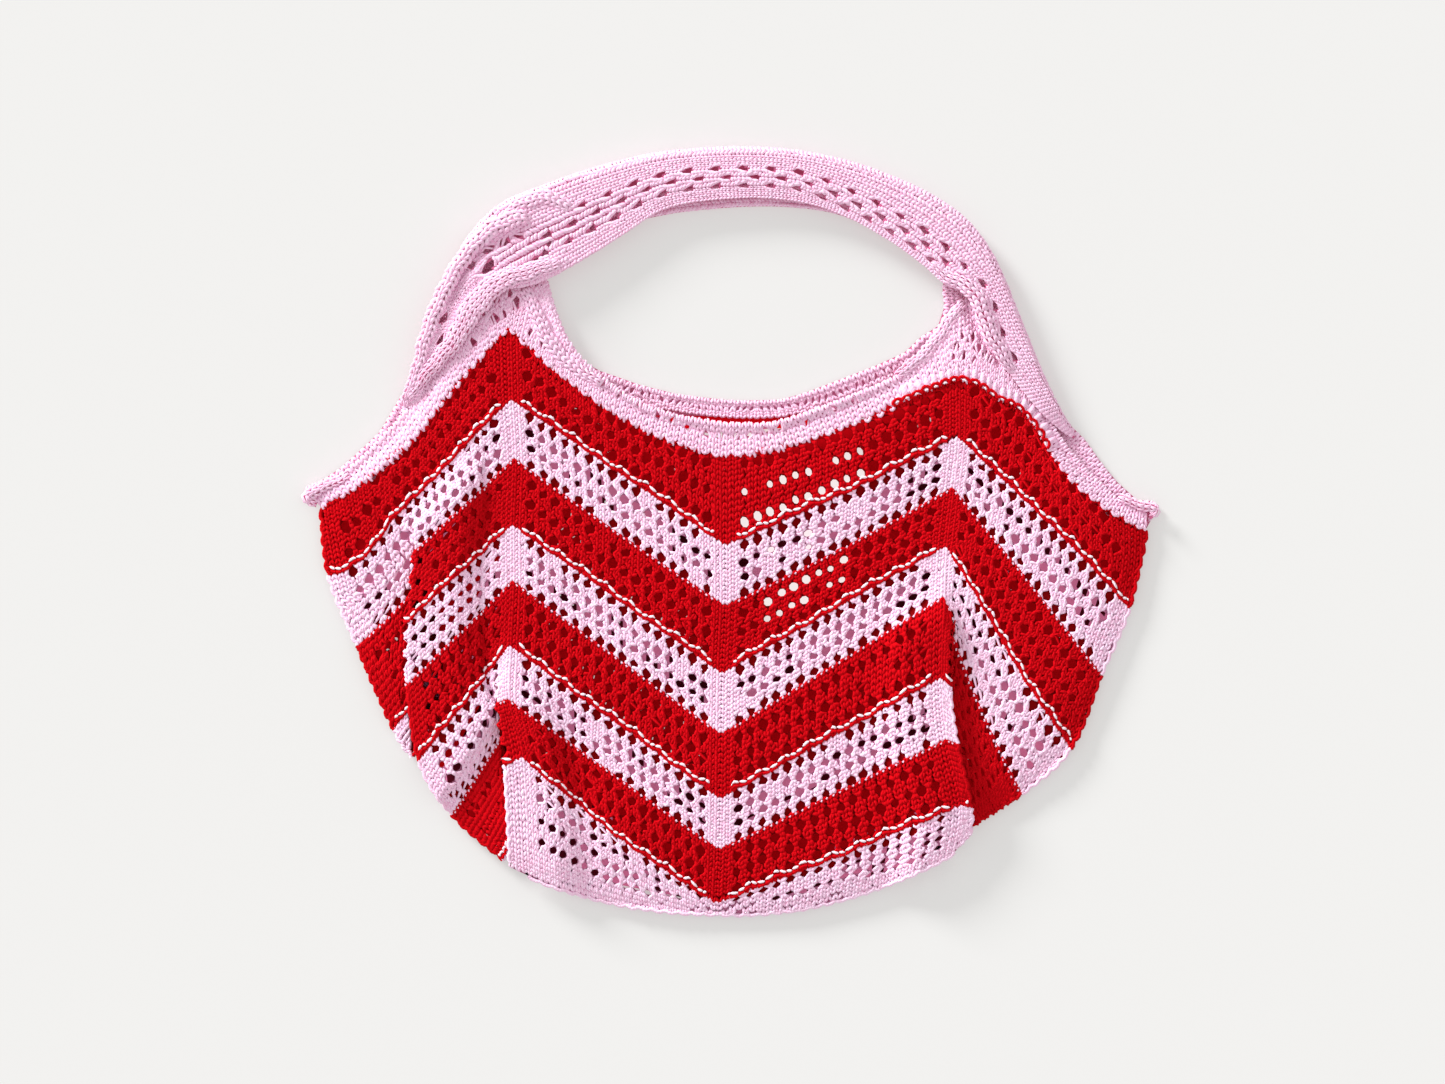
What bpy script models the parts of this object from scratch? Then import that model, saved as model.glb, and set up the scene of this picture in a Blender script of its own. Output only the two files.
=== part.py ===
"""A crochet tote bag lying flat on its back, seen from above.

The net front and back carry eight chevron bands in red and pink. Each panel has two peaks and a valley.
Pink yokes edge the panels, and one folded strip is the handle, twisted where it crosses the yokes.
Plan places are on a drafting grid of half a millimetre: x to the right, y down.
"""
from collections import namedtuple

import bpy
import numpy as np

# Driving sizes, in metres
GRID = 0.0005
NET_THICK = 0.0022
TRIM_THICK = 0.0022
STRIP_THICK = 0.0024
JOIN_GAP = 0.0006
PLEAT_STEP = 0.0032
PLEAT_HOLD = {"a": 0.021, "b": 0.013, "c": 0.017}
PLEAT_FALL = 0.02
EDGE_LEVEL = 0.0038
CROWN_RISE = 0.0052
CROWN_REACH = 0.014
UNEVEN = 0.0005
BACK_INSET = 0.0015

# The drafting grid's point that lies over the origin
MIDDLE_X = 731
MIDDLE_Y = 531

# Each row is the top edge of a band: the net's course as it runs from seam to seam.
# A fold place is the pleat's upper edge, and its depth is how far the cloth goes back under it.
# sag is how far an arm's middle hangs below the straight line between its ends, and shoulder is how
# far the row bulges up beside the right peak.
Row = namedtuple(
    "Row",
    "seam_left side_sag_left fold_a depth_a fold_b depth_b peak_left sag_left"
    " centre sag_right peak_right fold_c depth_c side_sag_right seam_right shoulder",
)
ROWS = {
    "trim": Row((322, 507), 4, (410, 443), 0, (492, 344), 0, (510, 328), 21,
                (725, 455), 11, (957, 378), (975, 382), 0, 17, (1146, 529), 23),
    "red_1": Row((330, 575), 13, (412, 503), 0, (496, 415), 0, (512, 400), 0,
                 (725, 545), 4, (957, 437), (972, 451), 0, -4, (1128, 608), 0),
    "pink_1": Row((358, 645), 4, (416, 551), 17, (502, 470), 0, (515, 458), 2,
                  (725, 605), 3, (952, 487), (965, 503), 0, -2, (1100, 674), 0),
    "red_2": Row((395, 729), 0, (409, 622), 38, (500, 536), 0, (513, 525), 0,
                 (722, 673), 0, (945, 546), (957, 565), 0, 6, (1070, 748), 0),
    "pink_2": Row((413, 756), 0, (410, 682), 36, (500, 593), 0, (513, 580), 0,
                  (721, 733), 0, (942, 597), (951, 618), 6, 8, (1021, 793), 0),
    "red_3": Row((433, 782), 0, (421, 759), 36, (499, 660), 2, (510, 645), 0,
                 (720, 798), 0, (940, 677), (948, 686), 26, 0, (968, 828), 0),
    "pink_3": Row((458, 822), 0, (453, 813), 0, (498, 702), 10, (509, 698), 0,
                  (719, 848), 0, (945, 738), (955, 742), 28, 0, (957, 850), 0),
    "red_4": Row((511, 866), 0, (504, 858), 0, (507, 764), 18, (523, 756), 8,
                 (716, 902), 3, (960, 804), (969, 806), 24, 0, (944, 866), 0),
    "pink_4": Row((534, 881), 0, (528, 877), 0, (512, 867), 10, (529, 875), 10,
                  (716, 913), 18, (953, 852), (968, 836), 14, 0, (918, 878), 0),
}
# Along x, the middle and the half width of the shoulder's bulge
SHOULDER_X = 1028
SHOULDER_WIDE = 28
# The last row that the covered cloth beside each pleat reaches, counted from the trim
COVERED_END_A = 4
COVERED_END_B = 7
COVERED_END_C = 5
# How each band is shared out among its courses; the courses with holes are the narrow ones
BAND_SHARES = {"trim": (0.0, 0.2, 0.36, 0.62, 0.78)}
PLAIN_SHARES = (0.0, 0.38, 0.62)

# Cells along a row, from the left seam to the right one
SIDE_LEFT_CELLS = 7
MIDDLE_LEFT_CELLS = 5
ARM_CELLS = 17
SIDE_RIGHT_CELLS = 9
TUCKED_CELLS = 2
FLAT_SPREAD = 8
HOLE_SHARE = 0.43
SMALLEST_HOLE = 0.0042

# The silhouette below the corners, from the left one round the bottom to the right one
SILHOUETTE = (
    (303, 488), (321, 506), (324, 532), (331, 585), (348, 634), (368, 686), (395, 729),
    (420, 769), (451, 812), (482, 848), (511, 867), (547, 885), (580, 900), (637, 904),
    (715, 914), (800, 912), (860, 898), (905, 884), (949, 859), (967, 834), (1000, 805),
    (1026, 788), (1060, 755), (1087, 715), (1106, 670), (1122, 625), (1139, 560), (1151, 524),
    (1159, 506),
)

# The front yoke's upper edge: the row column that it stands over, its place, and in mm its height
# and how far its roll stands up
YokeEdge = namedtuple("YokeEdge", "column place height roll")
FRONT_YOKE = (
    YokeEdge(0, (309, 490), 3.9, 0.2), YokeEdge(3, (342, 473), 4.2, 0.2),
    YokeEdge(7, (369, 450), 4.4, 0.2), YokeEdge(11, (395, 424), 4.6, 0.0),
    YokeEdge(13, (420, 398), 4.8, 0.0), YokeEdge(16, (442, 354), 5.8, 0.0),
    YokeEdge(17, (450, 324), 6.2, 0.0), YokeEdge(18, (466, 299), 6.4, 0.0),
    YokeEdge(19, (486, 277), 6.4, 0.0), YokeEdge(20, (512, 265), 6.4, 0.0),
    YokeEdge(21, (543, 269), 6.4, 0.0), YokeEdge(22, (547, 289), 6.6, 0.0),
    YokeEdge(23, (555, 315), 7.0, 0.2), YokeEdge(24, (566, 338), 7.4, 0.4),
    YokeEdge(25, (580, 357), 7.7, 0.6), YokeEdge(27, (607, 381), 8.0, 0.7),
    YokeEdge(30, (655, 408), 8.0, 0.7), YokeEdge(34, (708, 421), 8.0, 0.7),
    YokeEdge(37, (730, 423), 8.0, 0.7), YokeEdge(41, (782, 420), 8.0, 0.7),
    YokeEdge(46, (847, 397), 8.0, 0.7), YokeEdge(49, (890, 378), 7.8, 0.6),
    YokeEdge(51, (911, 367), 7.4, 0.4), YokeEdge(52, (926, 349), 7.0, 0.2),
    YokeEdge(53, (941, 327), 6.6, 0.0), YokeEdge(54, (954, 306), 6.4, 0.0),
    YokeEdge(55, (970, 297), 6.4, 0.0), YokeEdge(56, (984, 304), 6.4, 0.0),
    YokeEdge(57, (996, 325), 6.4, 0.0), YokeEdge(58, (1006, 350), 6.2, 0.0),
    YokeEdge(59, (1021, 382), 5.6, 0.0), YokeEdge(60, (1039, 411), 5.0, 0.0),
    YokeEdge(61, (1055, 437), 4.8, 0.2), YokeEdge(63, (1088, 474), 4.5, 0.2),
    YokeEdge(65, (1118, 501), 4.2, 0.2), YokeEdge(67, (1147, 514), 3.9, 0.2),
)
YOKE_LEVELS = (0.0, 0.45, 0.8, 1.0)
ROLL_SHAPE = (0.0, 0.25, 1.0, 0.3)

# The back yoke's outer edge, from the left corner over the peaks to the right corner
BACK_EDGE = (
    (303, 487), (318, 483), (341, 468), (361, 450), (379, 433), (389, 417), (400, 398),
    (413, 380), (423, 358), (433, 330), (446, 295), (463, 266), (488, 252), (520, 254),
    (536, 272), (541, 300), (555, 335), (577, 358), (600, 371), (640, 385), (680, 395),
    (735, 401), (780, 400), (805, 393), (842, 379), (873, 367), (904, 353), (920, 338),
    (938, 326), (944, 308), (943, 284), (958, 262), (982, 266), (1003, 292), (1022, 330),
    (1040, 372), (1053, 398), (1070, 425), (1085, 440), (1102, 464), (1117, 482),
    (1137, 501), (1155, 501), (1159, 507), (1152, 523),
)
# Where the back's net meets its yoke
BACK_JOIN = (
    (321, 507), (369, 481), (420, 431), (460, 375), (510, 328), (556, 371), (617, 413),
    (650, 425), (680, 419), (735, 420), (792, 418), (841, 426), (907, 397), (957, 378), (1015, 424),
    (1070, 479), (1106, 510), (1146, 529),
)
BACK_HOLE_BANDS = 5
BACK_HOLE_SCALE = 0.85

# The handle's strip, section by section from the left end: its fold, its upper layer's free edge,
# the share of its width that the lower layer takes, and both layers' middle heights in mm
Section = namedtuple("Section", "fold edge lower_share lower_height upper_height")
HANDLE = (
    Section((413, 381), (426, 378), 0.55, 3.8, 8.4),
    Section((422, 356), (441, 353), 0.45, 3.8, 9.0),
    Section((429, 331), (450, 331), 0.40, 3.8, 9.4),
    Section((438, 303), (465, 307), 0.40, 3.8, 9.6),
    Section((450, 271), (485, 287), 0.40, 3.8, 10.0),
    Section((468, 238), (515, 289), 0.35, 3.8, 10.6),
    Section((500, 206), (546, 281), 0.35, 3.6, 10.8),
    Section((546, 186), (583, 261), 0.55, 2.8, 10.2),
    Section((601, 167), (623, 236), 0.85, 1.7, 9.4),
    Section((662, 153), (668, 209), 1.10, 1.2, 9.0),
    Section((735, 148), (737, 199), 1.17, 1.2, 9.0),
    Section((801, 152), (795, 202), 1.12, 1.2, 9.0),
    Section((862, 166), (842, 216), 1.00, 1.2, 9.2),
    Section((920, 190), (888, 241), 0.75, 1.7, 9.6),
    Section((962, 217), (920, 264), 0.50, 2.9, 10.2),
    Section((988, 248), (944, 285), 0.40, 3.8, 10.6),
    Section((1005, 279), (967, 294), 0.40, 3.8, 10.5),
    Section((1015, 304), (977, 309), 0.45, 3.8, 10.4),
    Section((1025, 330), (983, 330), 0.42, 3.8, 10.4),
    Section((1035, 354), (996, 354), 0.42, 3.8, 10.3),
    Section((1046, 380), (1016, 383), 0.40, 3.8, 10.0),
    Section((1058, 403), (1038, 410), 0.40, 3.8, 9.2),
)
# Across the strip: the share of the way from the fold to the free edge, and the share of the height
UPPER_PROFILE = ((1.0, 0.0), (0.72, 0.04), (0.40, 0.06), (0.12, 0.0))
FOLD_PROFILE = ((0.0, 0.30), (0.0, 0.70))
LOWER_PROFILE = (0.12, 0.55, 1.0)
SECTION_STEPS = 2

# Colours, roughness
RED = (0.62, 0.0, 0.018, 1)
PINK = (0.93, 0.60, 0.80, 1)
YARN_ROUGHNESS = 0.85


def plan(place):
    """A place on the drafting grid, in metres about the origin."""
    return np.array([(place[0] - MIDDLE_X) * GRID, (MIDDLE_Y - place[1]) * GRID])


def ease(t):
    t = np.clip(t, 0.0, 1.0)
    return t * t * (3 - 2 * t)


def flat_row(row):
    return np.concatenate([np.atleast_1d(np.asarray(v, float)) for v in row])


def row_from(numbers):
    """A Row again, from the numbers that flat_row() gives."""
    fields, at = [], 0
    for sample in ROWS["trim"]:
        n = np.size(sample)
        fields.append(numbers[at : at + n] if n > 1 else float(numbers[at]))
        at += n
    return Row(*fields)


def smooth_between(points, k, t):
    """A smooth curve through a list of points, t of the way from point k to the next."""
    a, b = points[k], points[k + 1]
    before = points[max(k - 1, 0)]
    after = points[min(k + 2, len(points) - 1)]
    return (
        b * (3 * t * t - 2 * t**3)
        + a * (1 - 3 * t * t + 2 * t**3)
        + (b - before) / 2 * (t - 2 * t * t + t**3)
        + (after - a) / 2 * (t**3 - t * t)
    )


def row_at(k, t):
    rows = [flat_row(r) for r in ROWS.values()]
    row = row_from(smooth_between(rows, k, t))
    return row._replace(
        depth_a=max(row.depth_a, 0), depth_b=max(row.depth_b, 0), depth_c=max(row.depth_c, 0),
        shoulder=max(row.shoulder, 0),
    )


def shares(cells):
    """Places from 0 to 1 along an arm: wide cells and narrow ones by turns, wide at both ends."""
    widths = [HOLE_SHARE if i % 2 else 1 - HOLE_SHARE for i in range(cells)]
    return np.concatenate([[0], np.cumsum(widths)]) / sum(widths)


def arm(start, end, sag, cells, lift=0.0, hold=0.0):
    """The points along one arm of a row, without its first: places on the grid, and the lift.

    The lift is kept over the hold, in metres from the start, and falls away after it.
    """
    s = shares(cells)[1:, None]
    start, end = np.asarray(start, float), np.asarray(end, float)
    places = start + (end - start) * s
    places[:, 1] += (4 * sag * s * (1 - s))[:, 0]
    far = np.abs(places[:, :1] - start[0]) * GRID
    fall = ease((far - hold) / PLEAT_FALL)
    return np.hstack([places, lift * (1 - fall)])


def pleat(edge, depth, towards, cells):
    """The turns of a pleat, from the covered cloth to its upper edge, with the tucked cells between.

    towards is the unit way from the covered cloth to the upper edge along the row.
    """
    amount = float(ease((depth - 1) / 10))
    rise = float(ease(depth / 6))
    way = np.asarray(towards, float)
    side = np.array([np.sign(way[0]), 0.0])
    drop = abs(way[1] / max(abs(way[0]), 0.35))
    flat = [-way * FLAT_SPREAD * n for n in (3, 2, 1, 0)]
    deep = side * depth + np.array([0, depth * drop])
    shut = [deep + [0, 1.0], deep, side * 0.6, np.zeros(2)]
    lifts = (0.0, 0.95, 1.05, 2.0)
    turns = [
        np.append(edge + f * (1 - amount) + s * amount, lift * rise)
        for f, s, lift in zip(flat, shut, lifts)
    ]
    between = [turns[1] + (turns[2] - turns[1]) * i / cells for i in range(1, cells)]
    return np.array([turns[0], turns[1], *between, turns[2], turns[3]])


def unit(vector):
    return vector / np.linalg.norm(vector)


def row_points(row):
    """Every grid point of a row from the left seam to the right one, as x, y and lift in pleat steps."""
    seam_left, fold_a, fold_b = map(np.array, (row.seam_left, row.fold_a, row.fold_b))
    fold_c, seam_right = np.array(row.fold_c), np.array(row.seam_right)
    peak_left, centre, peak_right = map(np.array, (row.peak_left, row.centre, row.peak_right))
    along_a = unit(peak_left - fold_a) if row.depth_a > 0 else unit(fold_a - seam_left)
    a = pleat(fold_a, row.depth_a, along_a, TUCKED_CELLS)
    b = pleat(fold_b, row.depth_b, unit(fold_b - fold_a), 1)
    c = pleat(fold_c, row.depth_c, unit(fold_c - seam_right), 1)[::-1]
    low_a, top_a, low_b, top_b = a[0], a[-1], b[0], b[-1]
    top_c, low_c = c[0], c[-1]
    to_centre = arm(centre, peak_right, row.sag_right, ARM_CELLS)[:-1]
    lift_c = arm(peak_right, centre, 0.0, ARM_CELLS, top_c[2], PLEAT_HOLD["c"])[:-1, 2]
    to_centre[:, 2] = lift_c[::-1]
    side_right = arm(low_c[:2], seam_right, row.side_sag_right, SIDE_RIGHT_CELLS)
    side_right[:, 1] -= row.shoulder * np.exp(-(((side_right[:, 0] - SHOULDER_X) / SHOULDER_WIDE) ** 2))
    points = [
        np.append(seam_left, 0.0)[None],
        arm(seam_left, low_a[:2], row.side_sag_left, SIDE_LEFT_CELLS)[:-1],
        a,
        arm(top_a[:2], low_b[:2], 0.0, MIDDLE_LEFT_CELLS, top_a[2], PLEAT_HOLD["a"])[:-1],
        b,
        np.append(peak_left, top_b[2])[None],
        arm(peak_left, centre, row.sag_left, ARM_CELLS, top_b[2], PLEAT_HOLD["b"]),
        to_centre,
        np.append(peak_right, top_c[2])[None],
        c,
        side_right,
    ]
    return np.vstack(points)


def distance_to_line(places, line):
    best = np.full(len(places), np.inf)
    line = np.asarray(line, float)
    for a, b in zip(line[:-1], line[1:]):
        d = b - a
        t = np.clip(((places - a) @ d) / (d @ d), 0, 1)
        best = np.minimum(best, np.linalg.norm(places - a - t[:, None] * d, axis=1))
    return best


def crown(places):
    """The height of the front's middle surface over places on the drafting grid, in metres."""
    far = distance_to_line(places, SILHOUETTE) * GRID
    rise = 1 - np.exp(-far / CROWN_REACH)
    x, y = places[:, 0], places[:, 1]
    waves = np.sin(x / 37 + 1.3) * np.sin(y / 29) + 0.6 * np.sin((x + 1.7 * y) / 61)
    return EDGE_LEVEL + CROWN_RISE * rise + UNEVEN * waves * rise


def raised(points):
    """Row points in metres: places on the plan, and heights from the crown and the pleats."""
    flat = (points[:, :2] - [MIDDLE_X, MIDDLE_Y]) * [GRID, -GRID]
    return np.column_stack([flat, crown(points[:, :2]) + points[:, 2] * PLEAT_STEP])


def material(name, colour):
    made = bpy.data.materials.new(name)
    made.use_nodes = True
    shader = made.node_tree.nodes["Principled BSDF"]
    shader.inputs["Base Color"].default_value = colour
    shader.inputs["Roughness"].default_value = YARN_ROUGHNESS
    return made


def sheet(name, grid, thick, mat, holes=()):
    """A grid of points as an open surface, without the cells in holes, thickened with Solidify."""
    rows, columns, _ = grid.shape
    faces = []
    for i in range(rows - 1):
        for j in range(columns - 1):
            if (i, j) not in holes:
                a = i * columns + j
                faces.append((a, a + columns, a + columns + 1, a + 1))
    used = sorted({v for face in faces for v in face})
    number = {v: n for n, v in enumerate(used)}
    faces = [[number[v] for v in face] for face in faces]
    mesh = bpy.data.meshes.new(name)
    mesh.from_pydata(grid.reshape(-1, 3)[used].tolist(), [], faces)
    mesh.materials.append(mat)
    mesh.shade_smooth()
    made = bpy.data.objects.new(name, mesh)
    bag.objects.link(made)
    shell = made.modifiers.new("thickness", "SOLIDIFY")
    shell.thickness = thick
    shell.offset = 0.0
    shell.use_even_offset = False
    return made


def flat_plate(name, outline, holes, thick, mat):
    """A flat outline with holes, resting on the surface."""
    curve = bpy.data.curves.new(name, "CURVE")
    curve.dimensions = "2D"
    curve.fill_mode = "BOTH"
    curve.extrude = thick / 2
    for ring in (outline, *holes):
        spline = curve.splines.new("POLY")
        spline.points.add(len(ring) - 1)
        for point, (x, y) in zip(spline.points, ring):
            point.co = (x, y, 0, 1)
        spline.use_cyclic_u = True
    curve.materials.append(mat)
    made = bpy.data.objects.new(name, curve)
    made.location = (0, 0, thick / 2)
    bag.objects.link(made)
    return made


def inset(outline, by):
    """The outline moved inwards; it runs counterclockwise on the plan."""
    ring = np.asarray(outline)
    before, after = np.roll(ring, 1, 0), np.roll(ring, -1, 0)
    way = after - before
    normal = np.column_stack([-way[:, 1], way[:, 0]])
    normal /= np.linalg.norm(normal, axis=1)[:, None]
    return ring + normal * by


def front_rows():
    """The front's rows from the trim down, and for each course its band and whether it has holes."""
    names = list(ROWS)
    rows, courses = [], []
    for band, name in enumerate(names[:-1]):
        for n, t in enumerate(BAND_SHARES.get(name, PLAIN_SHARES)):
            rows.append(row_points(row_at(band, t)))
            courses.append((band, n % 2 == 1))
    rows.append(row_points(row_at(len(names) - 2, 1.0)))
    return rows, courses


def hole_columns():
    """The columns of narrow cells, by arm."""
    at, found = 0, []
    for cells, holed in (
        (SIDE_LEFT_CELLS, True), (TUCKED_CELLS + 2, False), (MIDDLE_LEFT_CELLS, True), (4, False),
        (ARM_CELLS, True), (ARM_CELLS, True), (4, False), (SIDE_RIGHT_CELLS, True),
    ):
        if holed:
            found += [at + i for i in range(1, cells, 2)]
        at += cells
    return found


def front_holes(rows, courses):
    """The cells left out of the front: narrow ones that are wide enough and lie open."""
    found = set()
    for i, (_, open_course) in enumerate(courses):
        if not open_course:
            continue
        for j in hole_columns():
            here, beside, below = rows[i][j, :2], rows[i][j + 1, :2], rows[i + 1][j, :2]
            wide, tall = np.linalg.norm(beside - here), np.linalg.norm(below - here)
            if min(wide, tall) * GRID > SMALLEST_HOLE:
                found.add((i, j))
    return found


def covered_cells(courses):
    """The cells past the end of the covered cloth, which turns in under the top layer."""
    first_a = SIDE_LEFT_CELLS + TUCKED_CELLS + 2
    first_b = first_a + MIDDLE_LEFT_CELLS + 3
    last_c = first_b + 1 + 2 * ARM_CELLS + 1
    found = set()
    for i, (band, _) in enumerate(courses):
        if band >= COVERED_END_A:
            found |= {(i, j) for j in range(first_a)}
        if band >= COVERED_END_B:
            found |= {(i, j) for j in range(first_b)}
        if band >= COVERED_END_C:
            found |= {(i, j) for j in range(last_c, last_c + 3 + SIDE_RIGHT_CELLS)}
    return found


def front_yoke_grid(top_row):
    """The yoke's rows, from the net's top row to the rolled edge."""
    base = top_row[:, :2]
    columns = np.arange(len(base))
    known = [e.column for e in FRONT_YOKE]
    upper = np.column_stack(
        [np.interp(columns, known, [e.place[k] for e in FRONT_YOKE]) for k in (0, 1)]
    )
    height = np.interp(columns, known, [e.height for e in FRONT_YOKE]) / 1000
    roll = np.interp(columns, known, [e.roll for e in FRONT_YOKE]) / 1000
    way = upper - base
    away = way / np.linalg.norm(way, axis=1)[:, None]
    start = base + away * (JOIN_GAP / GRID)
    low = crown(base)
    rows = []
    for level, bulge in zip(YOKE_LEVELS, ROLL_SHAPE):
        places = start + (upper - start) * level
        flat = (places - [MIDDLE_X, MIDDLE_Y]) * [GRID, -GRID]
        z = low + (height - low) * ease(level)
        rows.append(np.column_stack([flat, z + roll * bulge]))
    return np.array(rows)[::-1]


def handle_grid():
    """The folded strip: along it section by section, across it from the free edge round the fold."""
    table = np.array([[*s.fold, *s.edge, *s[2:]] for s in HANDLE], float)
    lines = []
    for k in range(len(table) - 1):
        for n in range(SECTION_STEPS):
            lines.append(smooth_between(table, k, n / SECTION_STEPS))
    lines.append(table[-1])
    grid = []
    for fx, fy, ex, ey, lower_share, low, high in lines:
        fold, edge = plan((fx, fy)), plan((ex, ey))
        low, high = max(low / 1000, STRIP_THICK / 2), high / 1000
        out = (fold - edge) / np.linalg.norm(fold - edge)
        fold = fold - out * STRIP_THICK / 2
        line = []
        for share, lift in UPPER_PROFILE:
            line.append([*(fold + (edge - fold) * share), high + lift * (high - low)])
        for bulge, drop in FOLD_PROFILE:
            line.append([*(fold + out * bulge), high + (low - high) * drop])
        for share in LOWER_PROFILE:
            line.append([*(fold + (edge - fold) * share * lower_share), low])
        grid.append(line)
    return np.array(grid)


def back_holes(rows, courses, cells):
    """The back's holes, which lie under those in the middle of the front's upper bands."""
    first = SIDE_LEFT_CELLS + TUCKED_CELLS + 2 + MIDDLE_LEFT_CELLS + 4
    found = []
    for i, j in sorted(cells):
        if courses[i][0] < BACK_HOLE_BANDS and first <= j < first + 2 * ARM_CELLS:
            ring = np.array([plan(rows[a][b]) for a, b in ((i, j), (i + 1, j), (i + 1, j + 1), (i, j + 1))])
            middle = ring.mean(0)
            found.append((middle + (ring - middle) * BACK_HOLE_SCALE).tolist())
    return found


for old in list(bpy.data.objects):
    bpy.data.objects.remove(old)
bag = bpy.data.collections.new("crochet_tote_bag")
bpy.context.scene.collection.children.link(bag)

# The net front
front_net = material("front_net", RED)
net_rows, net_courses = front_rows()
open_cells = front_holes(net_rows, net_courses) - covered_cells(net_courses)
left_out = open_cells | covered_cells(net_courses)
net_grid = np.array([raised(r) for r in net_rows])
sheet("front_panel", net_grid, NET_THICK, front_net, left_out)

# The front's trim
front_trim = material("front_trim", PINK)
sheet("front_yoke", front_yoke_grid(net_rows[0]), TRIM_THICK, front_trim)

# The net back, flat under the front
back_net = material("back_net", RED)
lower_edge = inset([plan(p) for p in SILHOUETTE], BACK_INSET)[2:-2]
join = [plan(p) for p in BACK_JOIN][::-1]
join[0] = join[0] - [BACK_INSET, 0]
join[-1] = join[-1] + [BACK_INSET, 0]
back_outline = [*lower_edge, *join]
open_below = back_holes(net_rows, net_courses, open_cells)
flat_plate("back_panel", back_outline, open_below, NET_THICK, back_net)

# The back's trim
back_trim = material("back_trim", PINK)
upper_edge = [plan(p) for p in BACK_EDGE]
lower_side = [plan(p) + [0, JOIN_GAP] for p in BACK_JOIN]
flat_plate("back_yoke", [*lower_side, *upper_edge[::-1]], (), TRIM_THICK, back_trim)

# The handle
handle_knit = material("handle_knit", PINK)
sheet("handle", handle_grid(), STRIP_THICK, handle_knit)
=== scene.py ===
"""The looks of the crochet tote bag: base sheets with the net's gaps, and the yarn stitch by stitch.

Places on the plan are on the same half-millimetre drafting grid as the solids: x right, y down.
Each cloth is a Surface with two ways of its own: a counts its wales, b runs down its courses.
"""
from collections import namedtuple
import math

import bmesh
import bpy
import numpy as np
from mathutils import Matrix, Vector
from mathutils.kdtree import KDTree
from mathutils.geometry import tessellate_polygon

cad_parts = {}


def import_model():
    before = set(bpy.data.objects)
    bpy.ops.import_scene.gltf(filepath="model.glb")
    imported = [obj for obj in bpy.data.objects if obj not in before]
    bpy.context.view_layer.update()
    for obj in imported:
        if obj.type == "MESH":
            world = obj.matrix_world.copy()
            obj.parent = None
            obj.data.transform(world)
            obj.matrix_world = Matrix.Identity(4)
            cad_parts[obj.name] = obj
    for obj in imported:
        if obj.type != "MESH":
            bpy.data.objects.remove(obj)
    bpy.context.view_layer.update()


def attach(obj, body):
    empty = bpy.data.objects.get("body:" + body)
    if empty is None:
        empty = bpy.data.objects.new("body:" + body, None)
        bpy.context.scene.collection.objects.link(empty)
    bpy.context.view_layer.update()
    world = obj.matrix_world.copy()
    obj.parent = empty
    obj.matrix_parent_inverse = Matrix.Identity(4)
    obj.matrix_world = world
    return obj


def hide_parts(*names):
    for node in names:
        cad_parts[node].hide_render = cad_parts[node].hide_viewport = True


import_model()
chance = np.random.default_rng(7)

# The drafting grid and the camera over it, in metres and in grid units
GRID = 0.0005
MIDDLE_X, MIDDLE_Y = 731, 531
PHOTO_WIDTH, PHOTO_HEIGHT = 1445, 1084
CAMERA_HEIGHT = 2.9
SENSOR = 36

# Sizes, in metres
PLEAT_STEP = 0.0032
PLEAT_HOLD = {"a": 0.021, "b": 0.013, "c": 0.017}
PLEAT_FALL = 0.02
EDGE_LEVEL = 0.0038
CROWN_RISE = 0.0052
CROWN_REACH = 0.014
UNEVEN = 0.0005
BACK_LEVEL = 0.0011
STRIP_LEVEL = 0.0010
JOIN_LEVEL = 0.0009
BASE_DEPTH = 0.0004
ROLL_DEPTH = 0.0006
STRIP_THICK = 0.0024

# Half the thickness of each yarn, and how high over its surface it lies, in metres. Links, waves and
# loops are in grid units
NET_YARN, TRIM_YARN, HANDLE_YARN, ROLL_YARN = 0.00082, 0.00078, 0.00080, 0.00088
RIM_YARN, RIM_LIFT, RIM_LOOP, RIM_LOOP_OUT = 0.00105, 0.0004, 13.0, 2.7
CHAIN_YARN, CHAIN_LIFT = 0.00068, 0.0012
CHAIN_LINK, CHAIN_WAVE, CHAIN_OVER_EDGE, UNDER_OVER_EDGE = 7.6, 4.4, 6.0, 2.4
CHAIN_UNDER, CHAIN_UNDER_LIFT = 0.00086, 0.0009
DOT_YARN, DOT_LIFT = 0.00055, 0.0010
LOOP_YARN, LOOP_LIFT, LOOP_WIDE, LOOP_DROP = 0.00078, 0.0014, 0.36, 4.4
SCALLOP_YARN, SCALLOP_DOT_YARN, SCALLOP_DOT_LIFT = 0.00085, 0.00062, 0.0016
PETAL_YARN, PETAL_LIFT = 0.0020, 0.0003

# A stitch's leg, ring by ring: its share of the height, how far it is from the wale's middle, its
# lift and its share of the yarn. Then how unevenly the stitches lie, in wales, courses and metres
RINGS = np.array([0.0, 0.33, 0.67, 1.0])
LEG_OUT = np.array([0.43, 0.33, 0.17, 0.07])
LEG_LIFT = np.array([-0.0003, 0.00050, 0.00055, -0.0003])
LEG_WIDTH = np.array([0.62, 1.0, 1.0, 0.55])
OVERLAP = 1.35
WALE_SLIP, LEG_SLIP, COURSE_SLIP = 0.02, 0.012, 0.05
NET_SLIP, TRIM_SLIP = 0.00008, 0.00006
YARN_SPREAD = (0.88, 1.12)
LEAST_TALL = 3.6

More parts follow.
